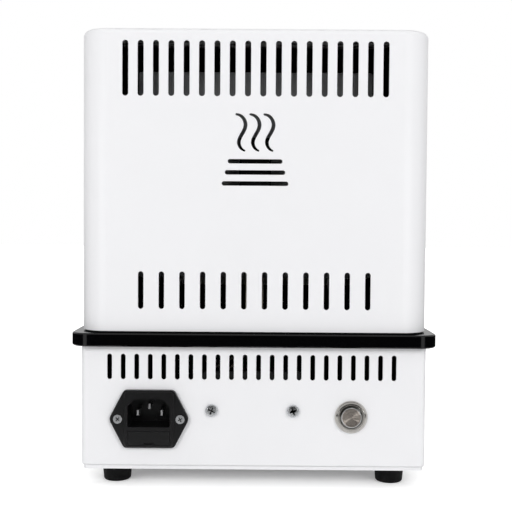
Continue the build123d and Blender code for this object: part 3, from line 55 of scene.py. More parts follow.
MM = 0.001
WELD = 1e-6
SHARP = radians(32)
BACK, FRONT, UP, DOWN = Vector((0, 1, 0)), Vector((0, -1, 0)), Vector((0, 0, 1)), Vector((0, 0, -1))


def shade(red, green, blue):
    """A colour as it looks on a screen, 0 to 255 a channel, in the linear values that Blender keeps."""
    return tuple(
        c / 12.92 if c <= 0.04045 else ((c + 0.055) / 1.055) ** 2.4
        for c in (red / 255, green / 255, blue / 255)
    )


def toned(colour, share):
    """A colour made darker or lighter by a share, up to white."""
    return tuple(min(1.0, c * share) for c in colour)


def colour_of(name, text, red, green, blue):
    """A colour setting."""
    return FloatVectorProperty(
        name=name, description=text, subtype="COLOR", size=3, min=0, max=1, default=shade(red, green, blue)
    )


def length_of(name, text, millimetres):
    """A length setting, written in millimetres."""
    return FloatProperty(name=name, description=text, default=millimetres * MM, unit="LENGTH", precision=5)


class FurnaceColours(bpy.types.PropertyGroup):
    """Colours of the furnace's finishes."""

    paint: colour_of("Paint", "Powder coat of the casing, the base and the door", 241, 241, 243)
    inside: colour_of("Inside", "Heat-proof coat inside the casing and the base", 34, 34, 35)
    plate: colour_of("Plate", "Glossy plate between the casing and the base", 3, 3, 4)
    rubber: colour_of("Rubber", "Feet, gasket and grommet", 8, 8, 9)
    plastic: colour_of("Plastic", "Mains inlet, relay, switch body and thermocouple head", 17, 17, 18)
    steel: colour_of("Steel", "Stainless parts", 205, 202, 197)
    spun: colour_of("Spun steel", "Face of the push button", 168, 160, 152)
    polished: colour_of("Polished steel", "Edge of the push button", 244, 243, 240)
    zinc: colour_of("Zinc", "Screws, nuts, rails and magnets", 214, 216, 218)
    # Painted shade: the screws' cross recesses take this darker colour in place of the shade that falls in
    # them
    recess: colour_of("Recess", "Cross recesses of the screws, painted dark as their shade", 92, 92, 94)
    nickel: colour_of("Nickel", "Blades of the inlet and legs of the chip", 226, 226, 228)
    can: colour_of("Can", "Dark sheet round the insulation and the display's module", 150, 151, 153)
    board: colour_of("Fibre board", "Ceramic-fibre insulation", 236, 231, 220)
    seared: colour_of("Seared board", "Insulation where the heaters brown it", 214, 190, 150)
    seared_plug: colour_of("Seared plug", "The door's plug where the heat browns it", 206, 176, 132)
    rope: colour_of("Rope", "Rope seal of the door", 232, 228, 216)
    ceramic: colour_of("Ceramic", "Hearth tile, tray and combs", 228, 219, 200)
    steatite: colour_of("Steatite", "Tube caps and thermocouple", 238, 234, 224)
    quartz: colour_of("Quartz", "Sheaths of the heaters and of the fuses", 236, 238, 240)
    wire: colour_of("Wire", "Heater windings and firing pegs", 96, 88, 82)
    brass: colour_of("Brass", "Hinge blocks", 201, 166, 96)
    glass: colour_of("Glass", "Front glass of the touch panel", 5, 5, 7)
    window: colour_of("Window", "Frame line of the display window", 74, 78, 84)
    digits: colour_of("Digits", "Unlit segments of the display", 62, 67, 74)
    print: colour_of("Print", "Key marks printed on the glass", 196, 200, 206)
    circuit: colour_of("Circuit board", "Solder mask of the boards", 22, 84, 54)
    moulding: colour_of("Moulding", "Plastic of the parts on the boards", 38, 38, 41)
    ferrite: colour_of("Ferrite", "Core of the transformer", 58, 58, 62)
    tape: colour_of("Tape", "Tape round the transformer's winding", 222, 178, 62)
    nylon: colour_of("Nylon", "Plug header of the supply", 214, 210, 198)
    base_lead: colour_of("Base lead", "Silicone on the leads of the base", 92, 94, 98)
    sleeve: colour_of("Sleeve", "Woven glass on the heaters' leads", 196, 190, 176)
    sensor_lead: colour_of("Sensor lead", "Silicone on the thermocouple's lead", 40, 104, 62)


class FurnaceSizes(bpy.types.PropertyGroup):
    """Sizes that several operators share."""

    large_head: length_of("Large head", "Height of an M4 pan head", 2.4)
    small_head: length_of("Small head", "Height of an M3 pan head", 1.7)
    head_limit: length_of("Head limit", "Head radius that parts M3 from M4", 3.2)
    thread_pitch: length_of("Thread pitch", "Pitch of the screws' threads", 0.7)
    steps: IntProperty(name="Steps", description="Faces round a turned shape", default=64, min=12)


class FurnaceStudio(bpy.types.PropertyGroup):
    """Camera, lamps and floor."""

    eye: FloatVectorProperty(
        name="Eye", description="Place of the camera", size=3, subtype="TRANSLATION", unit="LENGTH",
        default=(-1.76 * MM, 616.0 * MM, 152.9 * MM),
    )
    yaw: FloatProperty(name="Yaw", description="Turn towards +X", subtype="ANGLE", default=radians(0.10))
    pitch: FloatProperty(name="Pitch", description="Tilt down", subtype="ANGLE", default=radians(1.93))
    roll: FloatProperty(name="Roll", description="Tilt sideways", subtype="ANGLE", default=radians(0.41))
    lens: FloatProperty(name="Lens", description="Focal length", unit="CAMERA", default=59.83)
    floor: length_of("Floor", "Side of the square floor", 12000)
    sky: FloatProperty(name="Sky", description="Light from all round", default=0.52)
    key: FloatProperty(name="Key", description="Watts of each tall lamp behind the furnace", default=58.0)
    fill: FloatProperty(name="Fill", description="Watts of each tall lamp before the furnace", default=27.0)
    overhead: FloatProperty(name="Overhead", description="Watts of each lamp above", default=0.15)
    strips: FloatProperty(name="Strips", description="Strength of the strips that gloss sees", default=4.8)
    lift: FloatProperty(name="Lift", description="White that the camera sees in the floor", default=0.18)


def sum_of(operation, reflected=False):
    """A method of Value that does this sum in a Math node, with its two sides changed over if reflected."""
    def method(value, other=0.0):
        first, second = (other, value) if reflected else (value, other)
        return value.shading.maths(operation, first, second)
    return method


class Value:
    """A number in a material: a socket on which Python's own sums work."""

    def __init__(self, shading, socket):
        self.shading = shading
        self.socket = socket

    __add__ = sum_of("ADD")
    __radd__ = sum_of("ADD", True)
    __sub__ = sum_of("SUBTRACT")
    __rsub__ = sum_of("SUBTRACT", True)
    __mul__ = sum_of("MULTIPLY")
    __rmul__ = sum_of("MULTIPLY", True)
    __truediv__ = sum_of("DIVIDE")
    __rtruediv__ = sum_of("DIVIDE", True)
    __pow__ = sum_of("POWER")
    __abs__ = sum_of("ABSOLUTE")
    __gt__ = sum_of("GREATER_THAN")
    above = sum_of("MAXIMUM")
    below = sum_of("MINIMUM")


class Shading:
    """A tree of shader nodes, built from a few kinds of node."""

    def __init__(self, tree, coordinates):
        self.tree = tree
        self.tree.nodes.clear()
        self.place = self.node("ShaderNodeTexCoord", output=coordinates)

    def node(self, kind, settings=None, sockets=None, output=0):
        """A node of this kind. Its settings are set first, then the values or links of its sockets."""
        made = self.tree.nodes.new(kind)
        for name, setting in (settings or {}).items():
            setattr(made, name, setting)
        for name, value in (sockets or {}).items():
            socket = made.inputs[name]
            if isinstance(value, Value):
                self.tree.links.new(value.socket, socket)
            elif socket.type == "RGBA":
                socket.default_value = (*value, 1)
            else:
                socket.default_value = value
        return Value(self, made.outputs[output]) if made.outputs else None

    def maths(self, operation, first, second=0.0):
        """A sum on numbers."""
        return self.node("ShaderNodeMath", {"operation": operation}, {0: first, 1: second})

    def vectors(self, operation, first, second=(0.0, 0.0, 0.0)):
        """A sum on vectors. A length and a dot product are numbers."""
        output = "Value" if operation in ("LENGTH", "DOT_PRODUCT") else "Vector"
        return self.node("ShaderNodeVectorMath", {"operation": operation}, {0: first, 1: second}, output)

    def axis(self, letter):
        """One coordinate of the surface point, in metres, or of the direction in a sky."""
        return self.node("ShaderNodeSeparateXYZ", None, {0: self.place}, letter)

    def rays(self):
        """1 on a ray from the camera, on one off gloss and on one through glass."""
        names = ("Is Camera Ray", "Is Glossy Ray", "Is Transmission Ray")
        return [self.node("ShaderNodeLightPath", output=name) for name in names]

    def moved(self, turn=(0, 0, 0), scale=(1, 1, 1)):
        """The surface point, turned and scaled."""
        return self.node("ShaderNodeMapping", None, {0: self.place, "Rotation": turn, "Scale": scale})

    def noise(self, scale, detail=3.0, rough=0.55, where=None):
        """Fractal noise from 0 to 1. The scale is in patches per metre."""
        sockets = {"Vector": where or self.place, "Scale": scale, "Detail": detail, "Roughness": rough}
        return self.node("ShaderNodeTexNoise", None, sockets, "Fac")

    def cells(self, scale):
        """Distance to scattered points. The scale is in points per metre."""
        return self.node("ShaderNodeTexVoronoi", None, {"Vector": self.place, "Scale": scale}, "Distance")

    def span(self, value, low, high, start=0.0, end=1.0, smooth=False):
        """The value's place between low and high, clamped, as a number from start to end."""
        kind = "SMOOTHSTEP" if smooth else "LINEAR"
        sockets = {0: value, 1: low, 2: high, 3: start, 4: end}
        return self.node("ShaderNodeMapRange", {"interpolation_type": kind, "clamp": True}, sockets)

    def grade(self, noise, start, end):
        """A noise as a number from start to end, over the middle stretch that it mostly keeps to."""
        return self.span(noise, 0.3, 0.7, start, end)

    def mix(self, factor, first, second):
        """One colour over another."""
        return self.node("ShaderNodeMix", {"data_type": "RGBA"}, {0: factor, 6: first, 7: second}, 2)

    def tint(self, colour, value, spread):
        """A colour that grows darker and lighter with a value from 0 to 1."""
        return self.mix(value, toned(colour, 1 - spread), toned(colour, 1 + spread))

    def edges(self, reach):
        """1 where an edge is closer than the reach, and 0 on open faces."""
        bevelled = self.node("ShaderNodeBevel", {"samples": 4}, {"Radius": reach})
        straight = self.node("ShaderNodeNewGeometry", output="Normal")
        return self.span(self.vectors("DOT_PRODUCT", bevelled, straight), 0.995, 0.86)

    def bump(self, height, distance, strength=1.0):
        """A relief of this depth in metres."""
        sockets = {"Height": height, "Distance": distance, "Strength": strength}
        return self.node("ShaderNodeBump", None, sockets)


class Finish(Shading):
    """A material on Object coordinates."""

    def __init__(self, name):
        self.material = bpy.data.materials.new(name)
        self.material.use_nodes = True
        super().__init__(self.material.node_tree, "Object")

    def surface(self, colour, **sockets):
        """Ends the material in one shader and returns it."""
        names = {name.replace("_", " "): value for name, value in sockets.items()}
        shader = self.node("ShaderNodeBsdfPrincipled", None, {"Base Color": colour, **names})
        self.node("ShaderNodeOutputMaterial", None, {"Surface": shader})
        return self.material


def rounded_depth(finish, low, high, corner):
    """How far inside a box's upright walls a point lies, in metres, for a box with round corners."""
    middle, half = (low + high) / 2, (high - low) / 2
    across = abs(finish.axis("X") - middle.x) - (half.x - corner)
    along = abs(finish.axis("Y") - middle.y) - (half.y - corner)
    outer = (across.above(0.0) ** 2.0 + along.above(0.0) ** 2.0) ** 0.5
    return corner - outer - across.above(along).below(0.0)


def paint_finish(name, colour, inner=None, box=None, wall=0.0, corner=0.0):
    """Powder coat: fine orange peel, a faint cloudiness, and bare dark metal inside where a box is given,
    with patches of painted light on its ceiling near the back wall.
    """
    finish = Finish(name)
    cloud = finish.noise(22.0, 3.0)
    peel = finish.noise(1900.0, 2.0, 0.5)
    coat = finish.tint(colour, cloud, 0.012)
    rough = finish.span(cloud, 0.2, 0.8, 0.28, 0.34)
    if box is not None:
        low, high = box
        under = high.z - finish.axis("Z")
        hidden = finish.span(rounded_depth(finish, low, high, corner).below(under), wall * 0.55, wall * 0.75)
        # Painted highlights: pale patches of painted light on the ceiling near the back wall, which the
        # slots show
        ceiling = finish.span(under, wall * 1.2, wall * 1.5, 1.0, 0.0)
        near_back = finish.span(high.y - finish.axis("Y"), 36 * MM, 52 * MM, 1.0, 0.0)
        painted_glints = finish.span(finish.noise(150.0, 3.0), 0.34, 0.54)
        inside_with_painted_glints = finish.mix(ceiling * near_back * painted_glints, inner, shade(232, 232, 230))
        coat = finish.mix(hidden, coat, inside_with_painted_glints)
        rough = rough + hidden * 0.3
    return finish.surface(coat, Roughness=rough, Normal=finish.bump(peel, 0.012 * MM, 0.35), IOR=1.5)


def plate_finish(name, colour):
    """Glossy black: almost clean, with hairline scratches and a little dust in its sheen."""
    finish = Finish(name)
    dust = finish.noise(260.0, 4.0, 0.7)
    hair = finish.noise(90.0, 2.0, 0.5, finish.moved(turn=(0, 0, 0.5), scale=(1.0, 30.0, 8.0)))
    rough = finish.span(dust, 0.35, 0.8, 0.045, 0.11)
    return finish.surface(finish.tint(colour, dust, 0.2), Roughness=rough,
                          Normal=finish.bump(hair, 0.002 * MM, 0.15), Specular_IOR_Level=0.46)


def rubber_finish(name, colour):
    """Moulded rubber: matt, finely grained, paler along its edges."""
    finish = Finish(name)
    grain = finish.noise(2600.0, 3.0, 0.6)
    cloud = finish.noise(120.0, 3.0)
    skin = finish.mix(finish.edges(0.5 * MM) * 0.25, finish.tint(colour, cloud, 0.22), toned(colour, 3.2))
    return finish.surface(skin, Roughness=finish.grade(cloud, 0.52, 0.66),
                          Normal=finish.bump(grain, 0.03 * MM, 0.5), Specular_IOR_Level=0.2)


def plastic_finish(name, colour, rough=0.36):
    """Glass-filled moulding: satin with a spark-eroded grain, paler along its edges."""
    finish = Finish(name)
    grain = finish.cells(3200.0)
    flow = finish.noise(75.0, 4.0, 0.6, finish.moved(scale=(1.0, 1.0, 2.6)))
    skin = finish.mix(finish.edges(0.22 * MM) * 0.3, finish.tint(colour, flow, 0.16), toned(colour, 2.4))
    return finish.surface(skin, Roughness=finish.grade(flow, rough - 0.04, rough + 0.05),
                          Normal=finish.bump(grain, 0.018 * MM, 0.4), Specular_IOR_Level=0.3)


def metal_finish(name, colour, rough=0.3, grain=(1.0, 1.0, 1.0), scale=900.0, depth=0.006, edge=0.25):
    """Worked metal: brush lines along the axis whose grain is small, blurred patches, and a painted
    highlight that makes its edges brighter.

    The lines' depth and the edges' width are in millimetres."""
    finish = Finish(name)
    lines = finish.noise(scale, 3.0, 0.6, finish.moved(scale=grain))
    cloud = finish.noise(60.0, 3.0)
    face = finish.tint(colour, lines * 0.6 + cloud * 0.4, 0.16)
    # Painted highlight: the edges are mixed towards a lighter tone of the metal
    skin = finish.mix(finish.edges(edge * MM) * 0.6, face, toned(colour, 1.18))
    spread = finish.grade(lines * 0.7 + cloud * 0.3, rough - 0.07, rough + 0.09)
    return finish.surface(skin, Metallic=1.0, Roughness=spread, Normal=finish.bump(lines, depth * MM, 0.5))


def screw_finishes(name, shaded_recess_name, colours, rough, edge):
    """The plating of a screw, and a darker, dull one in its recess, which paints the recess's shade."""
    return (metal_finish(name, colours.zinc, rough, scale=1500.0, edge=edge),
            metal_finish(shaded_recess_name, colours.recess, 0.5, scale=1500.0, edge=0.05))


def turned_metal_finish(name, colour, centre, axis, pitch, slope, rough, patches=0.18):
    """Metal faced on a lathe: its fine rings tilt the normal in and out, which gives the fan of light."""
    finish = Finish(name)
    flat = tuple(0.0 if abs(a) > 0.5 else 1.0 for a in axis)
    across = finish.vectors("MULTIPLY", finish.vectors("SUBTRACT", finish.place, tuple(centre)), flat)
    reach = finish.vectors("LENGTH", across)
    uneven = finish.noise(700.0, 2.0)
    tilt = finish.maths("SINE", reach * (tau / pitch) + uneven * 5.0) * slope
    outward = finish.vectors("NORMALIZE", across)
    lean = finish.node("ShaderNodeVectorMath", {"operation": "SCALE"}, {0: outward, "Scale": tilt})
    straight = finish.node("ShaderNodeNewGeometry", output="Normal")
    normal = finish.vectors("NORMALIZE", finish.vectors("ADD", straight, lean))
    rings = finish.noise(1.0 / pitch, 2.0, 0.5, finish.node("ShaderNodeCombineXYZ", None, {0: reach}))
    skin = finish.tint(colour, rings * 0.7 + uneven * 0.3, patches)
    return finish.surface(skin, Metallic=1.0, Roughness=rough, Normal=normal)


def sheet_finish(name, colour):
    """Blued steel sheet: dark, cloudy, with rolling lines."""
    finish = Finish(name)
    cloud = finish.noise(38.0, 5.0, 0.6)
    lines = finish.noise(500.0, 2.0, 0.5, finish.moved(scale=(1.0, 1.0, 0.06)))
    skin = finish.tint(colour, cloud * 0.7 + lines * 0.3, 0.3)
    return finish.surface(skin, Metallic=0.35, Roughness=finish.grade(cloud, 0.4, 0.56),
                          Normal=finish.bump(lines, 0.01 * MM, 0.4))


def fibre_finish(name, colour, seared=None):
    """Vacuum-formed ceramic fibre: chalky, matted, with a few darker shots, browned where it is hot."""
    finish = Finish(name)
    mat = finish.noise(900.0, 6.0, 0.7, finish.moved(scale=(1.0, 2.2, 1.0)))
    lumps = finish.noise(160.0, 4.0, 0.6)
    shots = finish.span(finish.cells(420.0), 0.05, 0.09, 1.0, 0.0)
    skin = finish.tint(colour, mat * 0.6 + lumps * 0.4, 0.12)
    skin = finish.mix(shots * 0.35, skin, shade(150, 128, 96))
    if seared is not None:
        hot = finish.span(finish.noise(30.0, 3.0), 0.45, 0.75)
        skin = finish.mix(hot * 0.28, skin, seared)
    return finish.surface(skin, Roughness=0.95, Normal=finish.bump(mat * 0.5 + lumps * 0.5, 0.22 * MM, 0.7),
                          Specular_IOR_Level=0.15)


def ceramic_finish(name, colour):
    """Fired cordierite: sandy, speckled, softly pitted."""
    finish = Finish(name)
    sand = finish.noise(1500.0, 4.0, 0.65)
    specks = finish.span(finish.cells(620.0), 0.06, 0.12, 1.0, 0.0)
    pits = finish.span(finish.cells(240.0), 0.03, 0.09)
    skin = finish.mix(specks * 0.4, finish.tint(colour, sand, 0.1), shade(142, 120, 92))
    return finish.surface(skin, Roughness=finish.grade(sand, 0.7, 0.86),
                          Normal=finish.bump(sand * 0.3 + pits * 0.7, 0.08 * MM, 0.6))


def quartz_finish(name, colour):
    """Satin quartz: milky glass with faint drawing streaks."""
    finish = Finish(name)
    streaks = finish.noise(700.0, 3.0, 0.5, finish.moved(scale=(1.0, 0.03, 1.0)))
    skin = finish.tint(colour, streaks, 0.05)
    return finish.surface(skin, Roughness=finish.grade(streaks, 0.12, 0.26), IOR=1.46,
                          Transmission_Weight=0.82, Normal=finish.bump(streaks, 0.01 * MM, 0.3))


def wire_finish(name, colour):
    """Oxidised resistance wire: brown-grey scale on metal."""
    finish = Finish(name)
    scale = finish.noise(1400.0, 4.0, 0.65)
    skin = finish.mix(finish.span(scale, 0.4, 0.7), colour, toned(colour, 0.45))
    return finish.surface(skin, Metallic=finish.span(scale, 0.35, 0.7, 0.85, 0.45),
                          Roughness=finish.grade(scale, 0.42, 0.7),
                          Normal=finish.bump(scale, 0.02 * MM, 0.6))


def glass_finish(name, colour):
    """Back-painted glass: deep black, almost perfectly smooth, with a trace of finger haze."""
    finish = Finish(name)
    haze = finish.noise(42.0, 5.0, 0.6)
    skin = finish.tint(colour, haze, 0.15)
    return finish.surface(skin, Roughness=finish.span(haze, 0.4, 0.8, 0.03, 0.1), Specular_IOR_Level=0.26)


def print_finish(name, colour):
    """Screen print: matt ink with a fine mesh."""
    finish = Finish(name)
    mesh = finish.noise(5200.0, 2.0)
    return finish.surface(finish.tint(colour, mesh, 0.06), Roughness=0.45,
                          Normal=finish.bump(mesh, 0.004 * MM, 0.3))


def circuit_finish(name, colour, letter, top):
    """Solder mask over copper tracks, with bare pads, and dark mouldings beyond the board's own top."""
    finish = Finish(name)
    tracks = finish.noise(330.0, 1.0, 0.4, finish.moved(scale=(1.0, 1.0, 0.35)))
    runs = finish.span(abs(tracks - 0.5), 0.015, 0.03, 1.0, 0.0)
    pads = finish.span(finish.cells(420.0), 0.1, 0.13, 1.0, 0.0)
    skin = finish.mix(runs * 0.6, colour, toned(colour, 1.9))
    skin = finish.mix(pads, skin, shade(206, 206, 200))
    moulded = finish.axis(letter) > top + 0.05 * MM
    skin = finish.mix(moulded, skin, shade(34, 34, 36))
    rough = finish.span(pads, 0.0, 1.0, 0.34, 0.25)
    return finish.surface(skin, Metallic=pads * (1.0 - moulded), Roughness=rough,
                          Normal=finish.bump(runs + pads, 0.035 * MM, 0.5))


def silicone_finish(name, colour):
    """Soft silicone insulation of a lead."""
    finish = Finish(name)
    cloud = finish.noise(300.0, 3.0)
    return finish.surface(finish.tint(colour, cloud, 0.08), Roughness=0.48,
                          Normal=finish.bump(cloud, 0.03 * MM, 0.3))


def sleeve_finish(name, colour):
    """Woven glass sleeving of a lead, with its crossed yarns."""
    finish = Finish(name)
    pitch = 0.9 * MM
    one = finish.maths("SINE", (finish.axis("Z") + finish.axis("X")) * (tau / pitch))
    two = finish.maths("SINE", (finish.axis("Z") - finish.axis("Y")) * (tau / pitch))
    yarn = one.above(two) * 0.5 + 0.5
    return finish.surface(finish.tint(colour, yarn, 0.14), Roughness=0.82,
                          Normal=finish.bump(yarn, 0.12 * MM, 0.6))


def dress(material, *nodes):
    """Gives CAD nodes a finish."""
    for node in nodes:
        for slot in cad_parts[node].material_slots:
            slot.material = material


def piece(name, mesh, materials, replaced=None, body="furnace", sharp=SHARP):
    """Makes an object of a bmesh, with its place in its mesh, that rides on a body."""
    bmesh.ops.remove_doubles(mesh, verts=mesh.verts, dist=WELD)
    bmesh.ops.recalc_face_normals(mesh, faces=mesh.faces)
    data = bpy.data.meshes.new(name)
    mesh.to_mesh(data)
    mesh.free()
    data.shade_smooth()
    data.set_sharp_from_angle(angle=sharp)
    for material in materials if isinstance(materials, tuple) else (materials,):
        data.materials.append(material)
    made = bpy.data.objects.new(name, data)
    bpy.context.scene.collection.objects.link(made)
    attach(made, body)
    if replaced:
        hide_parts(replaced)


def seat(centre, outward, turn=0.0):
    """A place whose z axis points outward, turned about it."""
    spin = Matrix.Rotation(turn, 4, "Z")
    return Matrix.Translation(centre) @ outward.to_track_quat("Z", "Y").to_matrix().to_4x4() @ spin


def turned(mesh, profile, place, steps):
    """A lathe shape: the (radius, height) points of a profile, spun once round the place's z axis."""
    points = [mesh.verts.new(place @ Vector((radius, 0, height))) for radius, height in profile]
    lines = [mesh.edges.new(pair) for pair in zip(points, points[1:])]
    bmesh.ops.spin(mesh, geom=points + lines, cent=place.translation, axis=place.to_3x3() @ UP, angle=tau,
                   steps=steps, use_merge=True, use_duplicate=False)


def lines_of(made):
    """The edges of a shape that a bmesh operator has just made."""
    return list({line for point in made["verts"] for line in point.link_edges})


def block(mesh, at, low, high, edge=0.0, steps=2):
    """A box with rounded edges. Its two corners are given from a place."""
    low, high = Vector(low), Vector(high)
    stretch = Matrix.Diagonal((*(high - low), 1.0))
    made = bmesh.ops.create_cube(mesh, size=1.0, matrix=Matrix.Translation(at + (low + high) / 2) @ stretch)
    if edge:
        bmesh.ops.bevel(mesh, geom=lines_of(made), offset=edge, segments=steps, profile=0.5, affect="EDGES",
                        material=-1)


def join(mesh, part, places=(Matrix(),)):
    """Adds one bmesh to another, once at each place."""
    data = bpy.data.meshes.new("part")
    part.to_mesh(data)
    part.free()
    for place in places:
        data.transform(place)
        mesh.from_mesh(data)
        data.transform(place.inverted())
    bpy.data.meshes.remove(data)


def solids_of(node):
    """The low and high corner of each separate solid of a CAD node, in order of place."""
    copy = bmesh.new()
    copy.from_mesh(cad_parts[node].data)
    bmesh.ops.remove_doubles(copy, verts=copy.verts, dist=WELD)
    seen, boxes = set(), []
    for start in copy.verts:
        if start in seen:
            continue
        seen.add(start)
        group = [start]
        for point in group:
            for line in point.link_edges:
                other = line.other_vert(point)
                if other not in seen:
                    seen.add(other)
                    group.append(other)
        boxes.append([Vector([pick(point.co[i] for point in group) for i in range(3)])
                      for pick in (min, max)])
    copy.free()
    return sorted(boxes, key=lambda box: [round(c, 5) for c in box[0]])


def cross_recess(mesh, place, ring, arm, half, height, depth):
    """Closes a round opening with a cross recess that narrows towards its floor."""
    narrowed = Matrix.Diagonal((0.72, 0.72, 1, 1))
    corners = []
    for quarter in range(4):
        spin = Matrix.Rotation(quarter * pi / 2, 4, "Z")
        for x, y in ((arm, -half), (arm, half), (half, half)):
            corners.append(mesh.verts.new(place @ spin @ Vector((x, y, height))))
    lines = [mesh.edges.new(pair) for pair in zip(corners, corners[1:] + corners[:1])]
    bmesh.ops.bridge_loops(mesh, edges=ring + lines)
    walls = bmesh.ops.extrude_edge_only(mesh, edges=lines)["geom"]
    sides = [item for item in walls if isinstance(item, bmesh.types.BMFace)]
    lowered = [item for item in walls if isinstance(item, bmesh.types.BMVert)]
    sunk = place @ Matrix.Translation((0, 0, height - depth)) @ narrowed
    level = Matrix.Translation((0, 0, -height)) @ place.inverted()
    for point in lowered:
        point.co = sunk @ (level @ point.co)
    rim = [item for item in walls if isinstance(item, bmesh.types.BMEdge)
           and all(point in lowered for point in item.verts)]
    # The recess's walls and floor take the second material, which paints their shade
    for face in sides + bmesh.ops.edgeloop_fill(mesh, edges=rim)["faces"]:
        face.material_index = 1


def screw(mesh, low, high, outward, head_h, turn, pitch, sunk=0.0, steps=36):
    """Adds a cross-recess screw that fills the box of its solid. Sunk is the height of a conical head."""
    centre, half = (low + high) / 2, (high - low) / 2
    along = abs(half.dot(outward))
    head_r = max(half - Vector([abs(c) for c in outward]) * along)
    tip = 2 * along - head_h
    place = seat(centre + outward * (along - head_h), outward, turn)
    # Radii are shares of the head's radius and heights of its height, from the shank to the recess's mouth
    if sunk:
        shank, mouth, level, depth = head_r * 0.535, head_r * 0.7, 0.0, sunk * 0.7
        head = [(shank, -sunk), (head_r, -0.12 * MM), (head_r, level), (mouth, level)]
    else:
        shank, mouth, level, depth = head_r * 0.534, head_r * 0.72, head_h * 0.93, head_h * 0.55
        head = [(shank, 0.0), (head_r * 0.96, 0.0), (head_r, head_h * 0.08)]
        for step in range(1, 7):
            swing = step / 6 * pi / 2
            head.append((mouth + (head_r - mouth) * cos(swing), head_h * (0.36 + 0.57 * sin(swing))))
    turns = max(2, floor((tip - sunk) * 0.7 / pitch))
    thread = [(0.0, -tip), (shank * 0.72, -tip)]
    for step in range(turns):
        base = -tip + (step + 0.5) * pitch
        thread += [(shank, base), (shank * 0.82, base + pitch / 2)]
    thread.append((shank, -tip + (turns + 0.5) * pitch))
    part = bmesh.new()
    turned(part, thread + head, place, steps)
    bmesh.ops.remove_doubles(part, verts=part.verts, dist=WELD)
    ring = [line for line in part.edges if line.is_boundary]
    cross_recess(part, place, ring, head_r * 0.56, head_r * 0.115, level, depth)
    join(mesh, part)


def nut(mesh, centre, outward, radius, depth, turn=0.0):
    """A hexagon nut with its corners eased."""
    made = bmesh.ops.create_cone(mesh, cap_ends=True, segments=6, radius1=radius, radius2=radius,
                                 depth=depth, matrix=seat(centre, outward, turn))
    bmesh.ops.bevel(mesh, geom=lines_of(made), offset=depth * 0.08, segments=2, profile=0.5, affect="EDGES",
                    material=-1)


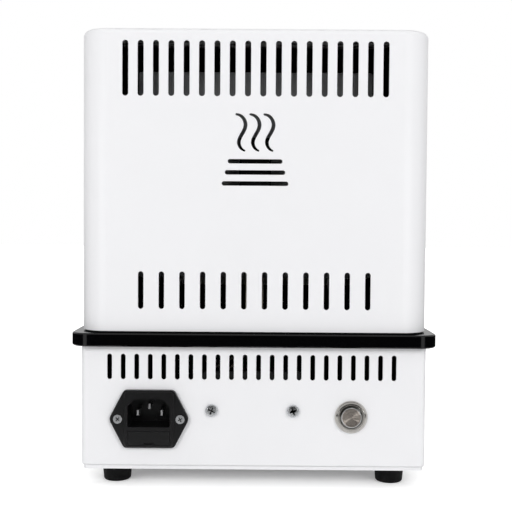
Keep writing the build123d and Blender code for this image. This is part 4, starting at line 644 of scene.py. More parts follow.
class FURNACE_OT_stage(bpy.types.Operator):
    """Sets the camera, the floor, the lamps and the surrounding light."""

    bl_idname = "furnace.stage"
    bl_label = "Studio"

    side: length_of("Lamp side", "From the middle to a tall lamp, sideways", 2200)
    away: length_of("Lamp away", "From the middle to a tall lamp, backwards or forwards", 3800)
    height: length_of("Lamp height", "Height of a tall lamp", 2000)
    wide: length_of("Lamp width", "Width of a tall lamp", 1150)
    tall: length_of("Lamp length", "Length of a tall lamp", 1650)
    above_away: length_of("Overhead away", "From the middle to a lamp above", 1000)
    above_height: length_of("Overhead height", "Height of a lamp above", 1750)
    above_wide: length_of("Overhead width", "Width of a lamp above", 1500)
    above_tall: length_of("Overhead length", "Length of a lamp above", 900)

    def execute(self, context):
        scene = context.scene
        studio = scene.furnace_studio
        self.camera(scene, studio)
        self.ground(scene, studio)
        self.sky(scene, studio)
        for side, turn in (("left", 1), ("right", -1)):
            for name, way, power in (("key", 1, studio.key), ("fill", -1, studio.fill)):
                place = Vector((self.side * turn, self.away * way, self.height))
                self.lamp(scene, f"{name}_{side}", place, self.wide, self.tall, power)
        for name, way in (("above_back", 1), ("above_front", -1)):
            place = Vector((0, self.above_away * way, self.above_height))
            self.lamp(scene, name, place, self.above_wide, self.above_tall, studio.overhead)
        scene.view_settings.view_transform = "Standard"
        return {"FINISHED"}

    def camera(self, scene, studio):
        """Looks from behind, a little down, as measured on the photograph."""
        ahead = Vector((sin(studio.yaw) * cos(studio.pitch), -cos(studio.yaw) * cos(studio.pitch),
                        -sin(studio.pitch)))
        right = Vector((-cos(studio.yaw), -sin(studio.yaw), 0))
        up = right.cross(ahead)
        level = cos(studio.roll) * right + sin(studio.roll) * up
        top = cos(studio.roll) * up - sin(studio.roll) * right
        turn = Matrix((level, top, -ahead)).transposed().to_4x4()
        camera = bpy.data.objects.new("camera", bpy.data.cameras.new("camera"))
        camera.matrix_world = Matrix.Translation(studio.eye) @ turn
        camera.data.lens = studio.lens
        camera.data.sensor_width = 36.0
        camera.data.clip_start = 0.01
        camera.data.clip_end = 50.0
        scene.collection.objects.link(camera)
        scene.camera = camera

    def ground(self, scene, studio):
        """A floor that keeps its shadows and is white away from the base; near the base its white glow
        fades, which paints part of the shadow there.

        Gloss sees it dark away from the furnace, apart from strips that run outward at a slant."""
        mesh = bmesh.new()
        bmesh.ops.create_grid(mesh, x_segments=1, y_segments=1, size=studio.floor / 2)
        data = bpy.data.meshes.new("ground")
        mesh.to_mesh(data)
        mesh.free()
        ground = bpy.data.objects.new("ground", data)
        scene.collection.objects.link(ground)
        finish = Finish("ground")
        seen, gloss, through = finish.rays()
        low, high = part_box("base_shell")
        middle, half = (low + high) / 2, (high - low) / 2
        beside = abs(finish.axis("X") - middle.x) - half.x
        outside = beside.above(abs(finish.axis("Y") - middle.y) - half.y)
        # Painted shadow: the camera's white glow fades out under and just beside the base's footprint
        lift = seen.above(through) * finish.span(outside, -30 * MM, 45 * MM, studio.lift, 1.0, True)
        slant = abs(finish.axis("X")) / abs(finish.axis("Y")).above(50 * MM)
        strips = finish.span(slant, 0.38, 0.46) * finish.span(slant, 0.68, 0.78, 1.0, 0.0)
        away = finish.vectors("LENGTH", finish.place)
        dark = gloss * finish.span(away, 250 * MM, 400 * MM) * (1.0 - strips)
        white = finish.tint((0.9, 0.9, 0.9), finish.noise(40.0, 2.0), 0.01)
        floor_colour = finish.mix(dark, white, (0.02, 0.02, 0.02))
        matt = finish.node("ShaderNodeBsdfDiffuse", None, {"Color": floor_colour})
        glow = finish.node("ShaderNodeEmission", None, {"Color": (1.0, 1.0, 1.0), "Strength": lift})
        both = finish.node("ShaderNodeAddShader", None, {0: matt, 1: glow})
        finish.node("ShaderNodeOutputMaterial", None, {"Surface": both})
        data.materials.append(finish.material)

    def sky(self, scene, studio):
        """White for the camera and through glass, and even light for the rest.

        Gloss sees a pale front and sides, a dark back with two bright strips, and a grey ceiling."""
        world = bpy.data.worlds.new("studio")
        world.use_nodes = True
        scene.world = world
        sky = Shading(world.node_tree, "Generated")
        back, height = sky.axis("Y"), sky.axis("Z")
        seen, gloss, through = sky.rays()
        front = sky.span(back, 0.3, 0.8, 0.62, 0.03, True)
        strips = sky.span(back, 0.72, 0.8, smooth=True) * sky.span(back, 0.9, 0.95, 1.0, 0.0, True)
        strips = strips * sky.span(height, 0.02, 0.16, studio.strips, 0.0, True)
        ceiling = sky.span(height, 0.25, 0.7, 0.0, 0.45, True)
        shown = (gloss * front.above(ceiling).above(strips)).above(seen).above(through)
        rest = 1.0 - seen.above(gloss).above(through)
        light = sky.node("ShaderNodeBackground", None,
                         {"Color": (1.0, 1.0, 1.0), "Strength": shown + rest * studio.sky})
        sky.node("ShaderNodeOutputWorld", None, {"Surface": light})

    def lamp(self, scene, name, place, width, height, power):
        """A soft box that looks at a point over the middle, half as high. Gloss doesn't show it."""
        light = bpy.data.lights.new(name, "AREA")
        light.shape = "RECTANGLE"
        light.size = width
        light.size_y = height
        light.energy = power
        lamp = bpy.data.objects.new(name, light)
        lamp.visible_glossy = False
        back = (place - Vector((0, 0, place.z / 2))).normalized()
        lamp.matrix_world = seat(place, back)
        scene.collection.objects.link(lamp)


class FURNACE_OT_shells(bpy.types.Operator):
    """Paints the casing, the base, the cover and the door, and finishes the plate and rubber parts."""

    bl_idname = "furnace.shells"
    bl_label = "Shells"

    wall: length_of("Wall", "Thickness of the sheet", 1.5)
    casing_corner: length_of("Casing corner", "Radius of the casing's upright corners", 16.0)
    base_corner: length_of("Base corner", "Radius of the base's upright corners", 3.5)

    def execute(self, context):
        colours = context.scene.furnace_colours
        paint, inside = colours.paint, colours.inside
        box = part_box("upper_casing")
        casing = paint_finish("casing_paint", paint, inside, box, self.wall, self.casing_corner)
        dress(casing, "upper_casing")
        low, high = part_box("base_shell")
        # The base's box is taken as open above, because it has no ceiling
        base = paint_finish("base_paint", paint, inside, (low, high + UP), self.wall, self.base_corner)
        dress(base, "base_shell")
        dress(paint_finish("cover_paint", paint), "bottom_cover")
        dress(paint_finish("door_paint", paint), "door_shell")
        dress(plate_finish("plate_gloss", colours.plate), "trim_plate")
        rubber = rubber_finish("moulded_rubber", colours.rubber)
        dress(rubber, "rubber_feet", "casing_gasket", "plate_grommet")
        return {"FINISHED"}


class FURNACE_OT_screws(bpy.types.Operator):
    """Models every pan-head screw from the box of its solid: dome, cross recess and thread."""

    bl_idname = "furnace.screws"
    bl_label = "Screws"

    def execute(self, context):
        sizes = context.scene.furnace_sizes
        zinc = screw_finishes("screw_zinc", "recess_shade_zinc", context.scene.furnace_colours, 0.24, 0.15)
        cover_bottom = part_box("bottom_cover")[0].z
        groups = (
            ("relay_screws", BACK, "furnace"),
            ("casing_screws", DOWN, "furnace"),
            ("plate_screws", DOWN, "furnace"),
            ("foot_screws", DOWN, "furnace"),
            ("front_screws", FRONT, "furnace"),
            ("base_screws", None, "furnace"),
            ("liner_screws", BACK, "door"),
            ("handle_screws", BACK, "door"),
        )
        for node, outward, body in groups:
            mesh = bmesh.new()
            for number, (low, high) in enumerate(solids_of(node)):
                # The base's screws hold the cover from below, or the supply's board from above
                facing = outward or (DOWN if low.z < cover_bottom else UP)
                width = sorted(high - low)[1] / 2
                head_h = sizes.large_head if width > sizes.head_limit else sizes.small_head
                screw(mesh, low, high, facing, head_h, 0.35 + number * 2.4, sizes.thread_pitch)
            piece(node.replace("screws", "cross_screws"), mesh, zinc, node, body)
        return {"FINISHED"}


class FURNACE_OT_inlet(bpy.types.Operator):
    """Finishes the mains inlet and models its countersunk screws with their nuts."""

    bl_idname = "furnace.inlet"
    bl_label = "Mains inlet"

    head_r: length_of("Head radius", "Radius of the countersunk head", 2.6)
    head_cone: length_of("Head cone", "Height of the countersunk head", 1.3)
    thread_pitch: length_of("Thread pitch", "Pitch of the countersunk screws' thread", 0.504)
    nut_depth: length_of("Nut depth", "Thickness of an M3 nut", 2.4)
    nut_radius: length_of("Nut radius", "Corner radius of an M3 nut", 3.2)

    def execute(self, context):
        colours = context.scene.furnace_colours
        dress(plastic_finish("inlet_plastic", colours.plastic, 0.34), "inlet_body", "fuse_drawer")
        dress(metal_finish("blade_nickel", colours.nickel, 0.2, scale=1200.0), "inlet_pins")
        dress(quartz_finish("fuse_glass", colours.quartz), "fuses")
        mesh = bmesh.new()
        side = Vector((self.head_r, 0, self.head_r))
        for number, (low, high) in enumerate(solids_of("inlet_screws")):
            middle = (low + high) / 2
            top = Vector((middle.x, high.y, middle.z))
            end = Vector((middle.x, low.y, middle.z))
            screw(mesh, end - side, top + side, BACK, 0.0, 0.5 + number * 1.9, self.thread_pitch,
                  self.head_cone)
            nut(mesh, end + BACK * self.nut_depth / 2, BACK, self.nut_radius, self.nut_depth, 0.4 * number)
        zinc = screw_finishes("inlet_zinc", "inlet_recess_shade", colours, 0.2, 0.12)
        piece("inlet_cross_screws", mesh, zinc, "inlet_screws")
        return {"FINISHED"}


class FURNACE_OT_button(bpy.types.Operator):
    """Turns the push button and its bezel, and finishes the switch behind them."""

    bl_idname = "furnace.button"
    bl_label = "Push button"

    flange_h: length_of("Flange height", "Height of the bezel above the panel", 2.6)
    flange_top_r: length_of("Flange top radius", "Radius of the bezel's flat face", 8.1)
    step_r: length_of("Step radius", "Radius of the step round the button", 7.2)
    step_h: length_of("Step height", "Depth of the step round the button", 0.6)
    bore_r: length_of("Bore radius", "Bore of the bezel", 6.7)
    soft: length_of("Softening", "Width of the bezel's eased corners", 0.18)
    thread_r: length_of("Thread radius", "Outer radius of the bezel's thread", 8.0)
    thread_depth: length_of("Thread depth", "Depth of the bezel's thread", 0.35)
    thread_pitch: length_of("Thread pitch", "Pitch of the bezel's thread", 1.0)
    cap_r: length_of("Cap radius", "Radius of the button", 5.95)
    cap_edge: length_of("Cap edge", "Width of the button's bright edge", 0.5)
    dish: length_of("Button dish", "Depth of the hollow in the button's face", 0.22)
    lip_r: length_of("Lip radius", "Radius of the button's retaining lip", 6.45)
    lip_t: length_of("Lip thickness", "Thickness of that lip", 1.0)
    stem_r: length_of("Stem radius", "Radius of the button's stem", 3.0)
    stem_l: length_of("Stem length", "Length of the stem", 7.0)
    end_bevel: length_of("End bevel", "Bevel at the ends of the thread and the stem", 0.3)

    def execute(self, context):
        colours = context.scene.furnace_colours
        steps = context.scene.furnace_sizes.steps
        low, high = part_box("switch_bezel")
        middle = (low + high) / 2
        steel = turned_metal_finish("bezel_steel", colours.steel, middle, BACK, 0.16 * MM, 0.05, 0.16, 0.08)
        spun = turned_metal_finish("button_steel", colours.spun, middle, BACK, 0.11 * MM, 0.3, 0.2)
        bright = metal_finish("button_edge", colours.polished, 0.3, scale=1500.0)
        self.bezel(low, high, middle, steel, steps)
        self.cap(middle, (spun, bright), steps)
        dress(metal_finish("nut_steel", colours.steel, 0.24), "switch_nut")
        dress(plastic_finish("switch_plastic", colours.plastic, 0.4), "switch_body")
        return {"FINISHED"}

    def bezel(self, low, high, middle, steel, steps):
        """The flange with its cone, the step and the threaded sleeve behind the panel."""
        top, soft, outer = self.flange_h, self.soft, (high.x - low.x) / 2
        panel = high.y - top
        sleeve = panel - low.y
        step = top - self.step_h
        cone = top - outer + self.flange_top_r
        profile = [
            (self.bore_r, -sleeve), (self.bore_r, step - soft), (self.bore_r + soft, step),
            (self.step_r - soft, step), (self.step_r, step + soft), (self.step_r, top - soft),
            (self.step_r + soft, top), (self.flange_top_r - soft, top),
            (self.flange_top_r + soft / 2, top - soft / 2), (outer - soft / 2, cone + soft / 2),
            (outer, cone - soft), (outer, soft), (outer - soft, 0.0), (self.thread_r, 0.0),
        ]
        for turn in range(1, floor(sleeve / self.thread_pitch)):
            profile += [(self.thread_r, (0.1 - turn) * self.thread_pitch),
                        (self.thread_r - self.thread_depth, (-0.4 - turn) * self.thread_pitch)]
        profile += [(self.thread_r, self.end_bevel - sleeve), (self.thread_r - self.end_bevel, -sleeve),
                    (self.bore_r, -sleeve)]
        mesh = bmesh.new()
        turned(mesh, profile, seat(Vector((middle.x, panel, middle.z)), BACK), steps)
        piece("turned_bezel", mesh, steel, "switch_bezel")

    def cap(self, middle, metals, steps):
        """The button: a dished face inside a bright edge, the lip and the stem."""
        low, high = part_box("switch_button")
        edge, face = self.cap_edge, self.cap_r - self.cap_edge
        length = high.y - low.y
        back = length - self.stem_l
        bevel = self.end_bevel * 2 / 3
        profile = [(0.0, -self.dish)]
        for step in range(1, 9):
            share = step / 8
            profile.append((face * share, -self.dish * (1 - share * share)))
        for step in range(1, 5):
            swing = step / 4 * pi / 2
            profile.append((face + edge * sin(swing), -edge * (1 - cos(swing))))
        profile += [
            (self.cap_r, -back + self.lip_t), (self.lip_r, -back + self.lip_t), (self.lip_r, -back),
            (self.stem_r, -back), (self.stem_r, bevel - length), (self.stem_r - bevel, -length),
            (0.0, -length),
        ]
        mesh = bmesh.new()
        turned(mesh, profile, seat(Vector((middle.x, high.y, middle.z)), BACK), steps)
        for part in mesh.faces:
            centre = part.calc_center_median() - middle
            part.material_index = int(Vector((centre.x, 0, centre.z)).length > face * 0.995)
        piece("spun_button", mesh, metals, "switch_button", "power_cap", radians(50))


class FURNACE_OT_core(bpy.types.Operator):
    """Finishes the can, the insulation, the ceramic parts and the heaters, and winds the heater wire."""

    bl_idname = "furnace.core"
    bl_label = "Heated core"

    coil_wire: length_of("Coil wire", "Radius of the heater wire", 0.38)
    coil_radius: length_of("Coil radius", "Middle radius of a heater winding", 1.95)
    coil_pitch: length_of("Coil pitch", "Length of one turn of a winding", 1.7)
    stud_r: length_of("Stud radius", "Radius of a heater's stud", 1.5)
    stud_pitch: length_of("Stud pitch", "Pitch of the stud's thread", 0.8)
    stud_depth: length_of("Stud depth", "Depth of the stud's thread", 0.22)
    nut_r: length_of("Nut radius", "Corner radius of the stud's nut", 3.0)
    nut_t: length_of("Nut thickness", "Thickness of the stud's nut", 1.8)
    nut_in: length_of("Nut place", "From the stud's end to the nut's middle", 1.6)

    def execute(self, context):
        colours = context.scene.furnace_colours
        dress(sheet_finish("can_sheet", colours.can), "core_can")
        dress(metal_finish("frame_steel", colours.steel, 0.34, (1.0, 1.0, 0.05)), "front_frame", "bus_bars")
        dress(metal_finish("rail_zinc", colours.zinc, 0.36, (1.0, 0.08, 1.0)), "can_legs")
        board = fibre_finish("fibre_board", colours.board, colours.seared)
        dress(board, "insulation_floor", "insulation_roof", "insulation_sides", "insulation_back")
        dress(fibre_finish("fibre_filling", colours.board), "door_filling")
        fired = ceramic_finish("fired_ceramic", colours.ceramic)
        dress(fired, "hearth_plate", "firing_tray", "tube_supports")
        dress(ceramic_finish("steatite", colours.steatite), "tube_caps", "thermocouple")
        dress(plastic_finish("head_plastic", colours.plastic, 0.5), "thermocouple_head")
        dress(quartz_finish("satin_quartz", colours.quartz), "heating_tubes")
        wire = wire_finish("scaled_wire", colours.wire)
        dress(wire, "firing_pegs")
        self.windings(wire)
        return {"FINISHED"}

    def windings(self, wire):
        """A helix of wire in each tube, ending in the stud that leaves the cap."""
        boxes = solids_of("heater_elements")
        front, rear = boxes[0]
        wire_r = self.coil_wire
        start = front.y + wire_r
        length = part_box("tube_caps")[0].y - start
        reach = rear.y - start - length
        single = bmesh.new()
        self.coil(single, length)
        thread = [(0.0, 0.0), (self.stud_r - 0.25 * MM, 0.0)]
        for step in range(floor(reach / self.stud_pitch)):
            at = (step + 0.5) * self.stud_pitch
            thread += [(self.stud_r, at), (self.stud_r - self.stud_depth, at + self.stud_pitch / 2)]
        thread += [(self.stud_r - 0.3 * MM, reach), (0.0, reach)]
        turned(single, thread, seat(BACK * length, BACK), 20)
        nut(single, BACK * (length + reach - self.nut_in), BACK, self.nut_r, self.nut_t)
        starts = [((low.x + high.x) / 2, low.y + wire_r, (low.z + high.z) / 2) for low, high in boxes]
        mesh = bmesh.new()
        join(mesh, single, [Matrix.Translation(start) for start in starts])
        piece("heater_windings", mesh, wire, "heater_elements", sharp=radians(60))

    def coil(self, mesh, length):
        """One winding along +Y from the origin: a single turn, repeated."""
        turns = floor(length / self.coil_pitch)
        pitch = length / turns
        steps = 12
        turn = bmesh.new()
        ring = bmesh.ops.create_circle(turn, segments=6, radius=self.coil_wire,
                                       matrix=Matrix.Translation((self.coil_radius, 0, 0)))
        bmesh.ops.spin(turn, geom=ring["verts"] + lines_of(ring), cent=(0, 0, 0), axis=BACK, angle=tau,
                       steps=steps, dvec=BACK * (pitch / steps), use_merge=False, use_duplicate=False)
        join(mesh, turn, [Matrix.Translation(BACK * pitch * number) for number in range(turns)])
        bmesh.ops.remove_doubles(mesh, verts=mesh.verts, dist=WELD)
        bmesh.ops.holes_fill(mesh, edges=[line for line in mesh.edges if line.is_boundary], sides=8)


class FURNACE_OT_door(bpy.types.Operator):
    """Finishes the door and its hinge, and lays the rope seal round the plug."""

    bl_idname = "furnace.door"
    bl_label = "Door"

    strand: length_of("Strand", "Radius of one strand of the door's rope", 1.18)
    rope_lay: length_of("Rope lay", "Length of one full twist of the rope", 13.0)
    rope_corner: length_of("Rope corner", "Radius of the rope's corners", 6.0)

    def execute(self, context):
        colours = context.scene.furnace_colours
        steel = colours.steel
        dress(metal_finish("liner_steel", steel, 0.32, (1.0, 1.0, 0.04)), "door_liner")
        dress(metal_finish("handle_steel", steel, 0.34, (1.0, 1.0, 0.03), 1100.0, 0.003), "door_handle")
        dress(metal_finish("post_steel", steel, 0.2, (1.0, 0.05, 1.0)), "handle_posts")
        dress(metal_finish("hinge_steel", steel, 0.34, (1.0, 1.0, 0.08)), "hinge_brackets", "hinge_pins")
        dress(metal_finish("hinge_brass", colours.brass, 0.3), "hinge_blocks")
        dress(metal_finish("magnet_plating", colours.zinc, 0.28), "door_magnets")
        dress(fibre_finish("plug_fibre", colours.board, colours.seared_plug), "door_plug")
        self.rope(fibre_finish("rope_fibre", colours.rope))
        return {"FINISHED"}

    def rope(self, fibre):
        """Three strands twisted round a closed rounded rectangle, pressed a little flat."""
        low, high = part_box("door_seal")
        middle, half = (low + high) / 2, (high - low) / 2
        radius, twist_r = self.strand * 2.15, self.strand * 1.1
        width, height = half.x - radius, half.z - radius
        around = 4 * (width + height - 2 * self.rope_corner) + tau * self.rope_corner
        twists = round(around / self.rope_lay)
        count = twists * 14
        mesh = bmesh.new()
        for strand in range(3):
            curve = bpy.data.curves.new("rope_strand", "CURVE")
            curve.dimensions = "3D"
            curve.bevel_depth = self.strand
            curve.bevel_resolution = 2
            curve.resolution_u = 1
            line = curve.splines.new("NURBS")
            line.points.add(count - 1)
            for number, point in enumerate(line.points):
                share = number / count
                centre, outward = self.loop_point(share * around, width, height)
                swing = tau * (share * twists + strand / 3)
                at = centre + (outward * cos(swing) + BACK * sin(swing)) * twist_r
                point.co = (*at, 1)
            line.order_u = 3
            line.use_cyclic_u = True
            bent = bpy.data.objects.new("rope_strand", curve)
            data = bpy.data.meshes.new_from_object(bent)
            mesh.from_mesh(data)
            bpy.data.meshes.remove(data)
            bpy.data.objects.remove(bent)
        squash = Matrix.Translation(middle) @ Matrix.Diagonal((1, half.y / radius, 1, 1))
        bmesh.ops.transform(mesh, matrix=squash, verts=mesh.verts)
        piece("rope_seal", mesh, fibre, "door_seal", "door", radians(80))

    def loop_point(self, run, width, height):
        """Where the rope is, a run after the middle of the right side, and which way is out there."""
        corner = self.rope_corner
        bend = corner * pi / 2
        run += height - corner
        for side in range(5):
            out, along = (height, width) if side % 2 else (width, height)
            straight = 2 * (along - corner)
            spin = Matrix.Rotation(-side * pi / 2, 3, "Y")
            if run <= straight:
                return spin @ Vector((out, 0, run - straight / 2)), spin @ Vector((1, 0, 0))
            run -= straight
            if run <= bend:
                swing = run / corner
                outward = Vector((cos(swing), 0, sin(swing)))
                hub = Vector((out - corner, 0, along - corner))
                return spin @ (hub + outward * corner), spin @ outward
            run -= bend


class FURNACE_OT_panel(bpy.types.Operator):
    """Finishes the touch panel: the glass, its display window with unlit digits, and its key marks."""

    bl_idname = "furnace.panel"
    bl_label = "Touch panel"

    print_proud: length_of("Print proud", "Thickness of the marks on the glass", 0.06)
    digit_h: length_of("Digit height", "Height of a display digit", 12.0)
    digit_w: length_of("Digit width", "Width of a display digit", 6.6)
    segment_w: length_of("Segment width", "Width of one segment of a digit", 1.3)
    key_r: length_of("Key radius", "Radius of a key's ring", 4.6)
    key_line: length_of("Key line", "Width of the rings and marks", 0.45)
    key_pitch: length_of("Key pitch", "Distance between keys", 17.0)

    def execute(self, context):
        colours = context.scene.furnace_colours
        dress(glass_finish("panel_glass", colours.glass), "display_glass")
        dress(sheet_finish("module_sheet", colours.can), "display_module")
        low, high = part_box("display_glass")
        wide, tall = high.x - low.x, high.z - low.z
        face = Vector(((low.x + high.x) / 2, low.y, (low.z + high.z) / 2))
        window = face + UP * tall * 0.17
        self.window(window, wide * 0.34, self.digit_h * 0.95, colours.window)
        self.digits(window, colours.digits)
        self.keys(face + DOWN * tall * 0.26, colours.print)
        return {"FINISHED"}

    def window(self, centre, half_w, half_h, colour):
        """A thin frame line round the display."""
        line = self.key_line * 0.6
        bars = ((-half_w, -half_h, half_w, line - half_h), (-half_w, half_h - line, half_w, half_h),
                (-half_w, line - half_h, line - half_w, half_h - line),
                (half_w - line, line - half_h, half_w, half_h - line))
        mesh = bmesh.new()
        for left, bottom, right, top in bars:
            block(mesh, centre, (left, -self.print_proud, bottom), (right, 0, top))
        piece("window_line", mesh, print_finish("window_print", colour))

    def digits(self, centre, colour):
        """Four seven-segment digits, unlit."""
        w, h, s = self.digit_w / 2, self.digit_h / 2, self.segment_w / 2
        proud = self.print_proud
        bars = [(0, -h, True), (0, 0, True), (0, h, True), (-w, -h / 2, False), (w, -h / 2, False),
                (-w, h / 2, False), (w, h / 2, False)]
        mesh = bmesh.new()
        for place in range(4):
            for x, z, level in bars:
                along = (w if level else h / 2) - s * 1.25
                half_x, half_z = (along, s) if level else (s, along)
                at = centre + Vector(((place - 1.5) * self.digit_w * 1.75 + x, 0, z))
                block(mesh, at, (-half_x, -proud, -half_z), (half_x, 0, half_z), proud * 0.4, 1)
        piece("display_digits", mesh, print_finish("digit_print", colour))

    def keys(self, centre, colour):
        """Four ringed keys: start, stop, up and down, as plain signs."""
        outer, inner, top = self.key_r, self.key_r - self.key_line, self.print_proud
        ring = [(inner, 0.0), (inner, top), (outer, top), (outer, 0.0), (inner, 0.0)]
        radius = self.key_r * 0.44
        mesh = bmesh.new()
        for number, (corners, turn) in enumerate(((3, pi), (4, pi / 4), (3, -pi / 2), (3, pi / 2))):
            hub = centre + Vector(((number - 1.5) * self.key_pitch, 0, 0))
            turned(mesh, ring, seat(hub, FRONT), 48)
            bmesh.ops.create_cone(mesh, cap_ends=True, segments=corners, radius1=radius, radius2=radius,
                                  depth=top, matrix=seat(hub + FRONT * top / 2, FRONT, turn + pi / 2))
        piece("key_marks", mesh, print_finish("key_print", colour))


class FURNACE_OT_electronics(bpy.types.Operator):
    """Finishes the boards, the relay and the leads, and builds the parts on the boards."""

    bl_idname = "furnace.electronics"
    bl_label = "Electronics"

    board_t: length_of("Board thickness", "Thickness of a circuit board", 1.6)
    header_t: length_of("Header height", "Height of a plug header", 8.0)
    header_w: length_of("Header width", "Width of a plug header", 26.0)
    chip_w: length_of("Chip width", "Width of the control chip", 20.0)
    chip_t: length_of("Chip thickness", "Thickness of the control chip", 3.2)
    leg_w: length_of("Leg width", "Width of a chip's leg", 0.5)
    leg_l: length_of("Leg length", "Length of a chip's leg", 1.4)
    leg_pitch: length_of("Leg pitch", "Distance between a chip's legs", 1.4)
    small_l: length_of("Small part", "Length of a small part on the control board", 3.2)
    core_w: length_of("Core width", "Width of the transformer", 28.0)
    core_h: length_of("Core height", "Height of the transformer", 22.0)
    can_r: length_of("Capacitor radius", "Radius of a capacitor's can", 6.5)
    can_h: length_of("Capacitor height", "Height of a capacitor", 26.0)
    can_x: length_of("Capacitor spread", "Half the distance between the capacitors", 12.0)
    can_y: length_of("Capacitor place", "From the board's middle to the capacitors", 28.0)
    block_w: length_of("Terminal width", "Width of the terminal block", 40.0)
    block_l: length_of("Terminal depth", "Depth of the terminal block", 10.0)
    block_in: length_of("Terminal place", "From the board's edge to the block's middle", 8.0)
    block_h: length_of("Terminal height", "Height of the terminal block", 16.0)
    fence: length_of("Terminal fence", "Thickness of a fence between two poles", 1.2)
    pole_r: length_of("Pole screw radius", "Head radius of a terminal screw", 2.6)
    pole_l: length_of("Pole screw length", "Length of a terminal screw below its head", 4.0)

    def execute(self, context):
        colours, sizes = context.scene.furnace_colours, context.scene.furnace_sizes
        low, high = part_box("control_board")
        wide, tall, top = high.x - low.x, high.z - low.z, high.y - self.header_t
        dress(circuit_finish("control_mask", colours.circuit, "Y", top), "control_board")
        moulded = plastic_finish("board_mouldings", colours.moulding, 0.4)
        tinned = metal_finish("tinned_legs", colours.nickel, 0.26, scale=1500.0, edge=0.05)
        self.chip(Vector((low.x + wide / 4, top, low.z + tall * 3 / 8)), (moulded, tinned))
        self.supply(colours, sizes, moulded, tinned)
        dress(plastic_finish("relay_plastic", colours.plastic, 0.42), "relay")
        dress(silicone_finish("silicone_grey", colours.base_lead), "base_leads")
        dress(sleeve_finish("glass_sleeve", colours.sleeve), "heater_leads")
        dress(silicone_finish("silicone_green", colours.sensor_lead), "thermocouple_lead")
        return {"FINISHED"}

    def chip(self, hub, finishes):
        """The control chip with its legs, a hair larger than its solid, and a row of small parts."""
        half = self.chip_w / 2
        body = half * 1.01
        mesh = bmesh.new()
        block(mesh, hub, (-body, 0, -body), (body, self.chip_t * 1.02, body), 0.4 * MM)
        for number in range(6):
            at = hub + Vector((self.chip_w + number * self.small_l, 0, half * 0.6))
            deep, tall = self.small_l / 4, self.small_l / 2
            block(mesh, at, (-deep, 0, -tall), (deep, 0.9 * MM, tall), 0.12 * MM)
        bodies = len(mesh.faces)
        count = 12
        for side in range(4):
            spin = Matrix.Rotation(side * pi / 2, 3, "Y")
            for number in range(count):
                along = (number - (count - 1) / 2) * self.leg_pitch
                ends = [spin @ Vector((half, 0.05 * MM, along - self.leg_w / 2)),
                        spin @ Vector((half + self.leg_l, 0.35 * MM, along + self.leg_w / 2))]
                block(mesh, hub, [min(pair) for pair in zip(*ends)], [max(pair) for pair in zip(*ends)])
        mesh.faces.ensure_lookup_table()
        for face in mesh.faces[bodies:]:
            face.material_index = 1
        piece("control_chip", mesh, finishes)

    def supply(self, colours, sizes, moulded, tinned):
        """The open supply on its board: transformer, capacitors, terminal block and header."""
        low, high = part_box("power_supply")
        half = (high - low) / 2
        middle = Vector((low.x + half.x, low.y + half.y, low.z + self.board_t))
        board = bmesh.new()
        block(board, middle, (-half.x, -half.y, -self.board_t), (half.x, half.y, 0), 0.15 * MM)
        mask = circuit_finish("supply_mask", colours.circuit, "Z", middle.z)
        piece("supply_board", board, mask, "power_supply")
        self.transformer(middle, colours)
        self.capacitors(middle, (moulded, tinned), sizes.steps // 2)
        self.terminals(middle + BACK * (half.y - self.block_in), moulded, tinned, sizes)
        header = bmesh.new()
        wide, tall = self.header_w / 2, self.header_t
        block(header, middle, (-wide, -half.y, 0), (wide, tall - half.y, tall), 0.3 * MM)
        piece("supply_header", header, print_finish("header_nylon", colours.nylon))

    def transformer(self, at, colours):
        """A ferrite core of two legs and two yokes round a taped winding."""
        half, tall = self.core_w / 2, self.core_h
        leg, deep = half * 0.4, half * 0.5
        inner = half - leg
        core = bmesh.new()
        for left, right in ((-half, -inner), (inner, half)):
            block(core, at, (left, -deep, 0), (right, deep, tall), 0.4 * MM)
        for height in (0.0, tall - leg):
            block(core, at, (-inner, -deep, height), (inner, deep, height + leg), 0.2 * MM)
        piece("transformer_core", core, sheet_finish("ferrite", colours.ferrite))
        winding = bmesh.new()
        block(winding, at, (-inner, -half, leg), (inner, half, tall - leg), 2.4 * MM, 4)
        piece("transformer_winding", winding, print_finish("winding_tape", colours.tape))

    def capacitors(self, at, finishes, steps):
        """Two cans with a rolled groove at the foot and a bare, scored top."""
        radius, tall, groove, sink = self.can_r, self.can_h, 2.8 * MM, 0.4 * MM
        profile = [(0.0, 0.0), (radius * 0.88, 0.0), (radius, 0.8 * MM), (radius, groove - 0.6 * MM),
                   (radius * 0.93, groove), (radius, groove + 0.6 * MM), (radius, tall - 0.8 * MM),
                   (radius * 0.94, tall), (radius * 0.8, tall), (radius * 0.76, tall - sink),
                   (0.0, tall - sink)]
        mesh = bmesh.new()
        for side in (-self.can_x, self.can_x):
            turned(mesh, profile, seat(at + Vector((side, -self.can_y, 0)), UP), steps)
        for face in mesh.faces:
            face.material_index = int(face.calc_center_median().z > at.z + tall - sink - 0.05 * MM)
        piece("supply_capacitors", mesh, finishes)

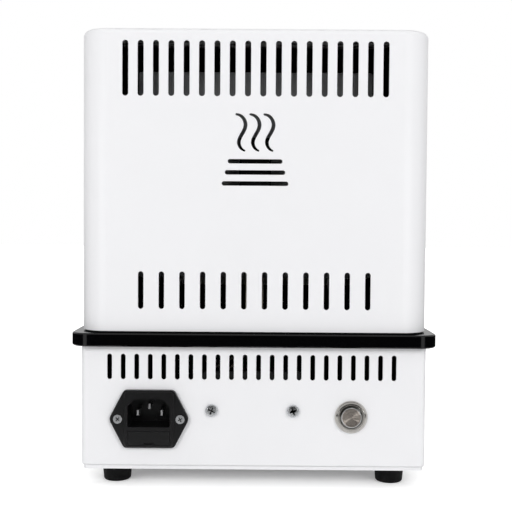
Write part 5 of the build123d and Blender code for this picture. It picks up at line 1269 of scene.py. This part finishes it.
    def terminals(self, at, moulded, tinned, sizes):
        """A terminal block: a step with a screw for each pole, between upright fences."""
        poles = 5
        half_w, half_l, half_fence = self.block_w / 2, self.block_l / 2, self.fence / 2
        step = self.block_h * 0.6
        pitch = (self.block_w - self.fence) / poles
        mesh = bmesh.new()
        block(mesh, at, (-half_w, -half_l, 0), (half_w, half_l, step), 0.3 * MM)
        for number in range(poles + 1):
            x = (number - poles / 2) * pitch
            block(mesh, at, (x - half_fence, -half_l, step), (x + half_fence, half_l, self.block_h))
        piece("terminal_block", mesh, moulded)
        screws = bmesh.new()
        side = Vector((self.pole_r, self.pole_r, 0))
        for number in range(poles):
            place = at + Vector(((number + 0.5 - poles / 2) * pitch, 0, step))
            screw(screws, place - side - UP * self.pole_l, place + side + UP * sizes.small_head, UP,
                  sizes.small_head, number * 1.3, sizes.thread_pitch, steps=24)
        piece("terminal_screws", screws, (tinned, tinned))


class FURNACE_PT_sidebar(bpy.types.Panel):
    """Lists the furnace's operators."""

    bl_idname = "FURNACE_PT_sidebar"
    bl_label = "Glazing furnace"
    bl_space_type = "VIEW_3D"
    bl_region_type = "UI"
    bl_category = "Furnace"

    def draw(self, context):
        for operator in OPERATORS:
            self.layout.operator(operator.bl_idname)


GROUPS = (
    ("furnace_colours", FurnaceColours),
    ("furnace_sizes", FurnaceSizes),
    ("furnace_studio", FurnaceStudio),
)
OPERATORS = (
    FURNACE_OT_stage,
    FURNACE_OT_shells,
    FURNACE_OT_screws,
    FURNACE_OT_inlet,
    FURNACE_OT_button,
    FURNACE_OT_core,
    FURNACE_OT_door,
    FURNACE_OT_panel,
    FURNACE_OT_electronics,
)


def register():
    for name, group in GROUPS:
        bpy.utils.register_class(group)
        setattr(bpy.types.Scene, name, PointerProperty(type=group))
    for cls in (*OPERATORS, FURNACE_PT_sidebar):
        bpy.utils.register_class(cls)


def unregister():
    for cls in (FURNACE_PT_sidebar, *reversed(OPERATORS)):
        bpy.utils.unregister_class(cls)
    for name, group in reversed(GROUPS):
        delattr(bpy.types.Scene, name)
        bpy.utils.unregister_class(group)


def main():
    """Makes everything in order."""
    register()
    for operator in OPERATORS:
        group, name = operator.bl_idname.split(".")
        getattr(getattr(bpy.ops, group), name)()


if __name__ == "__main__":
    main()
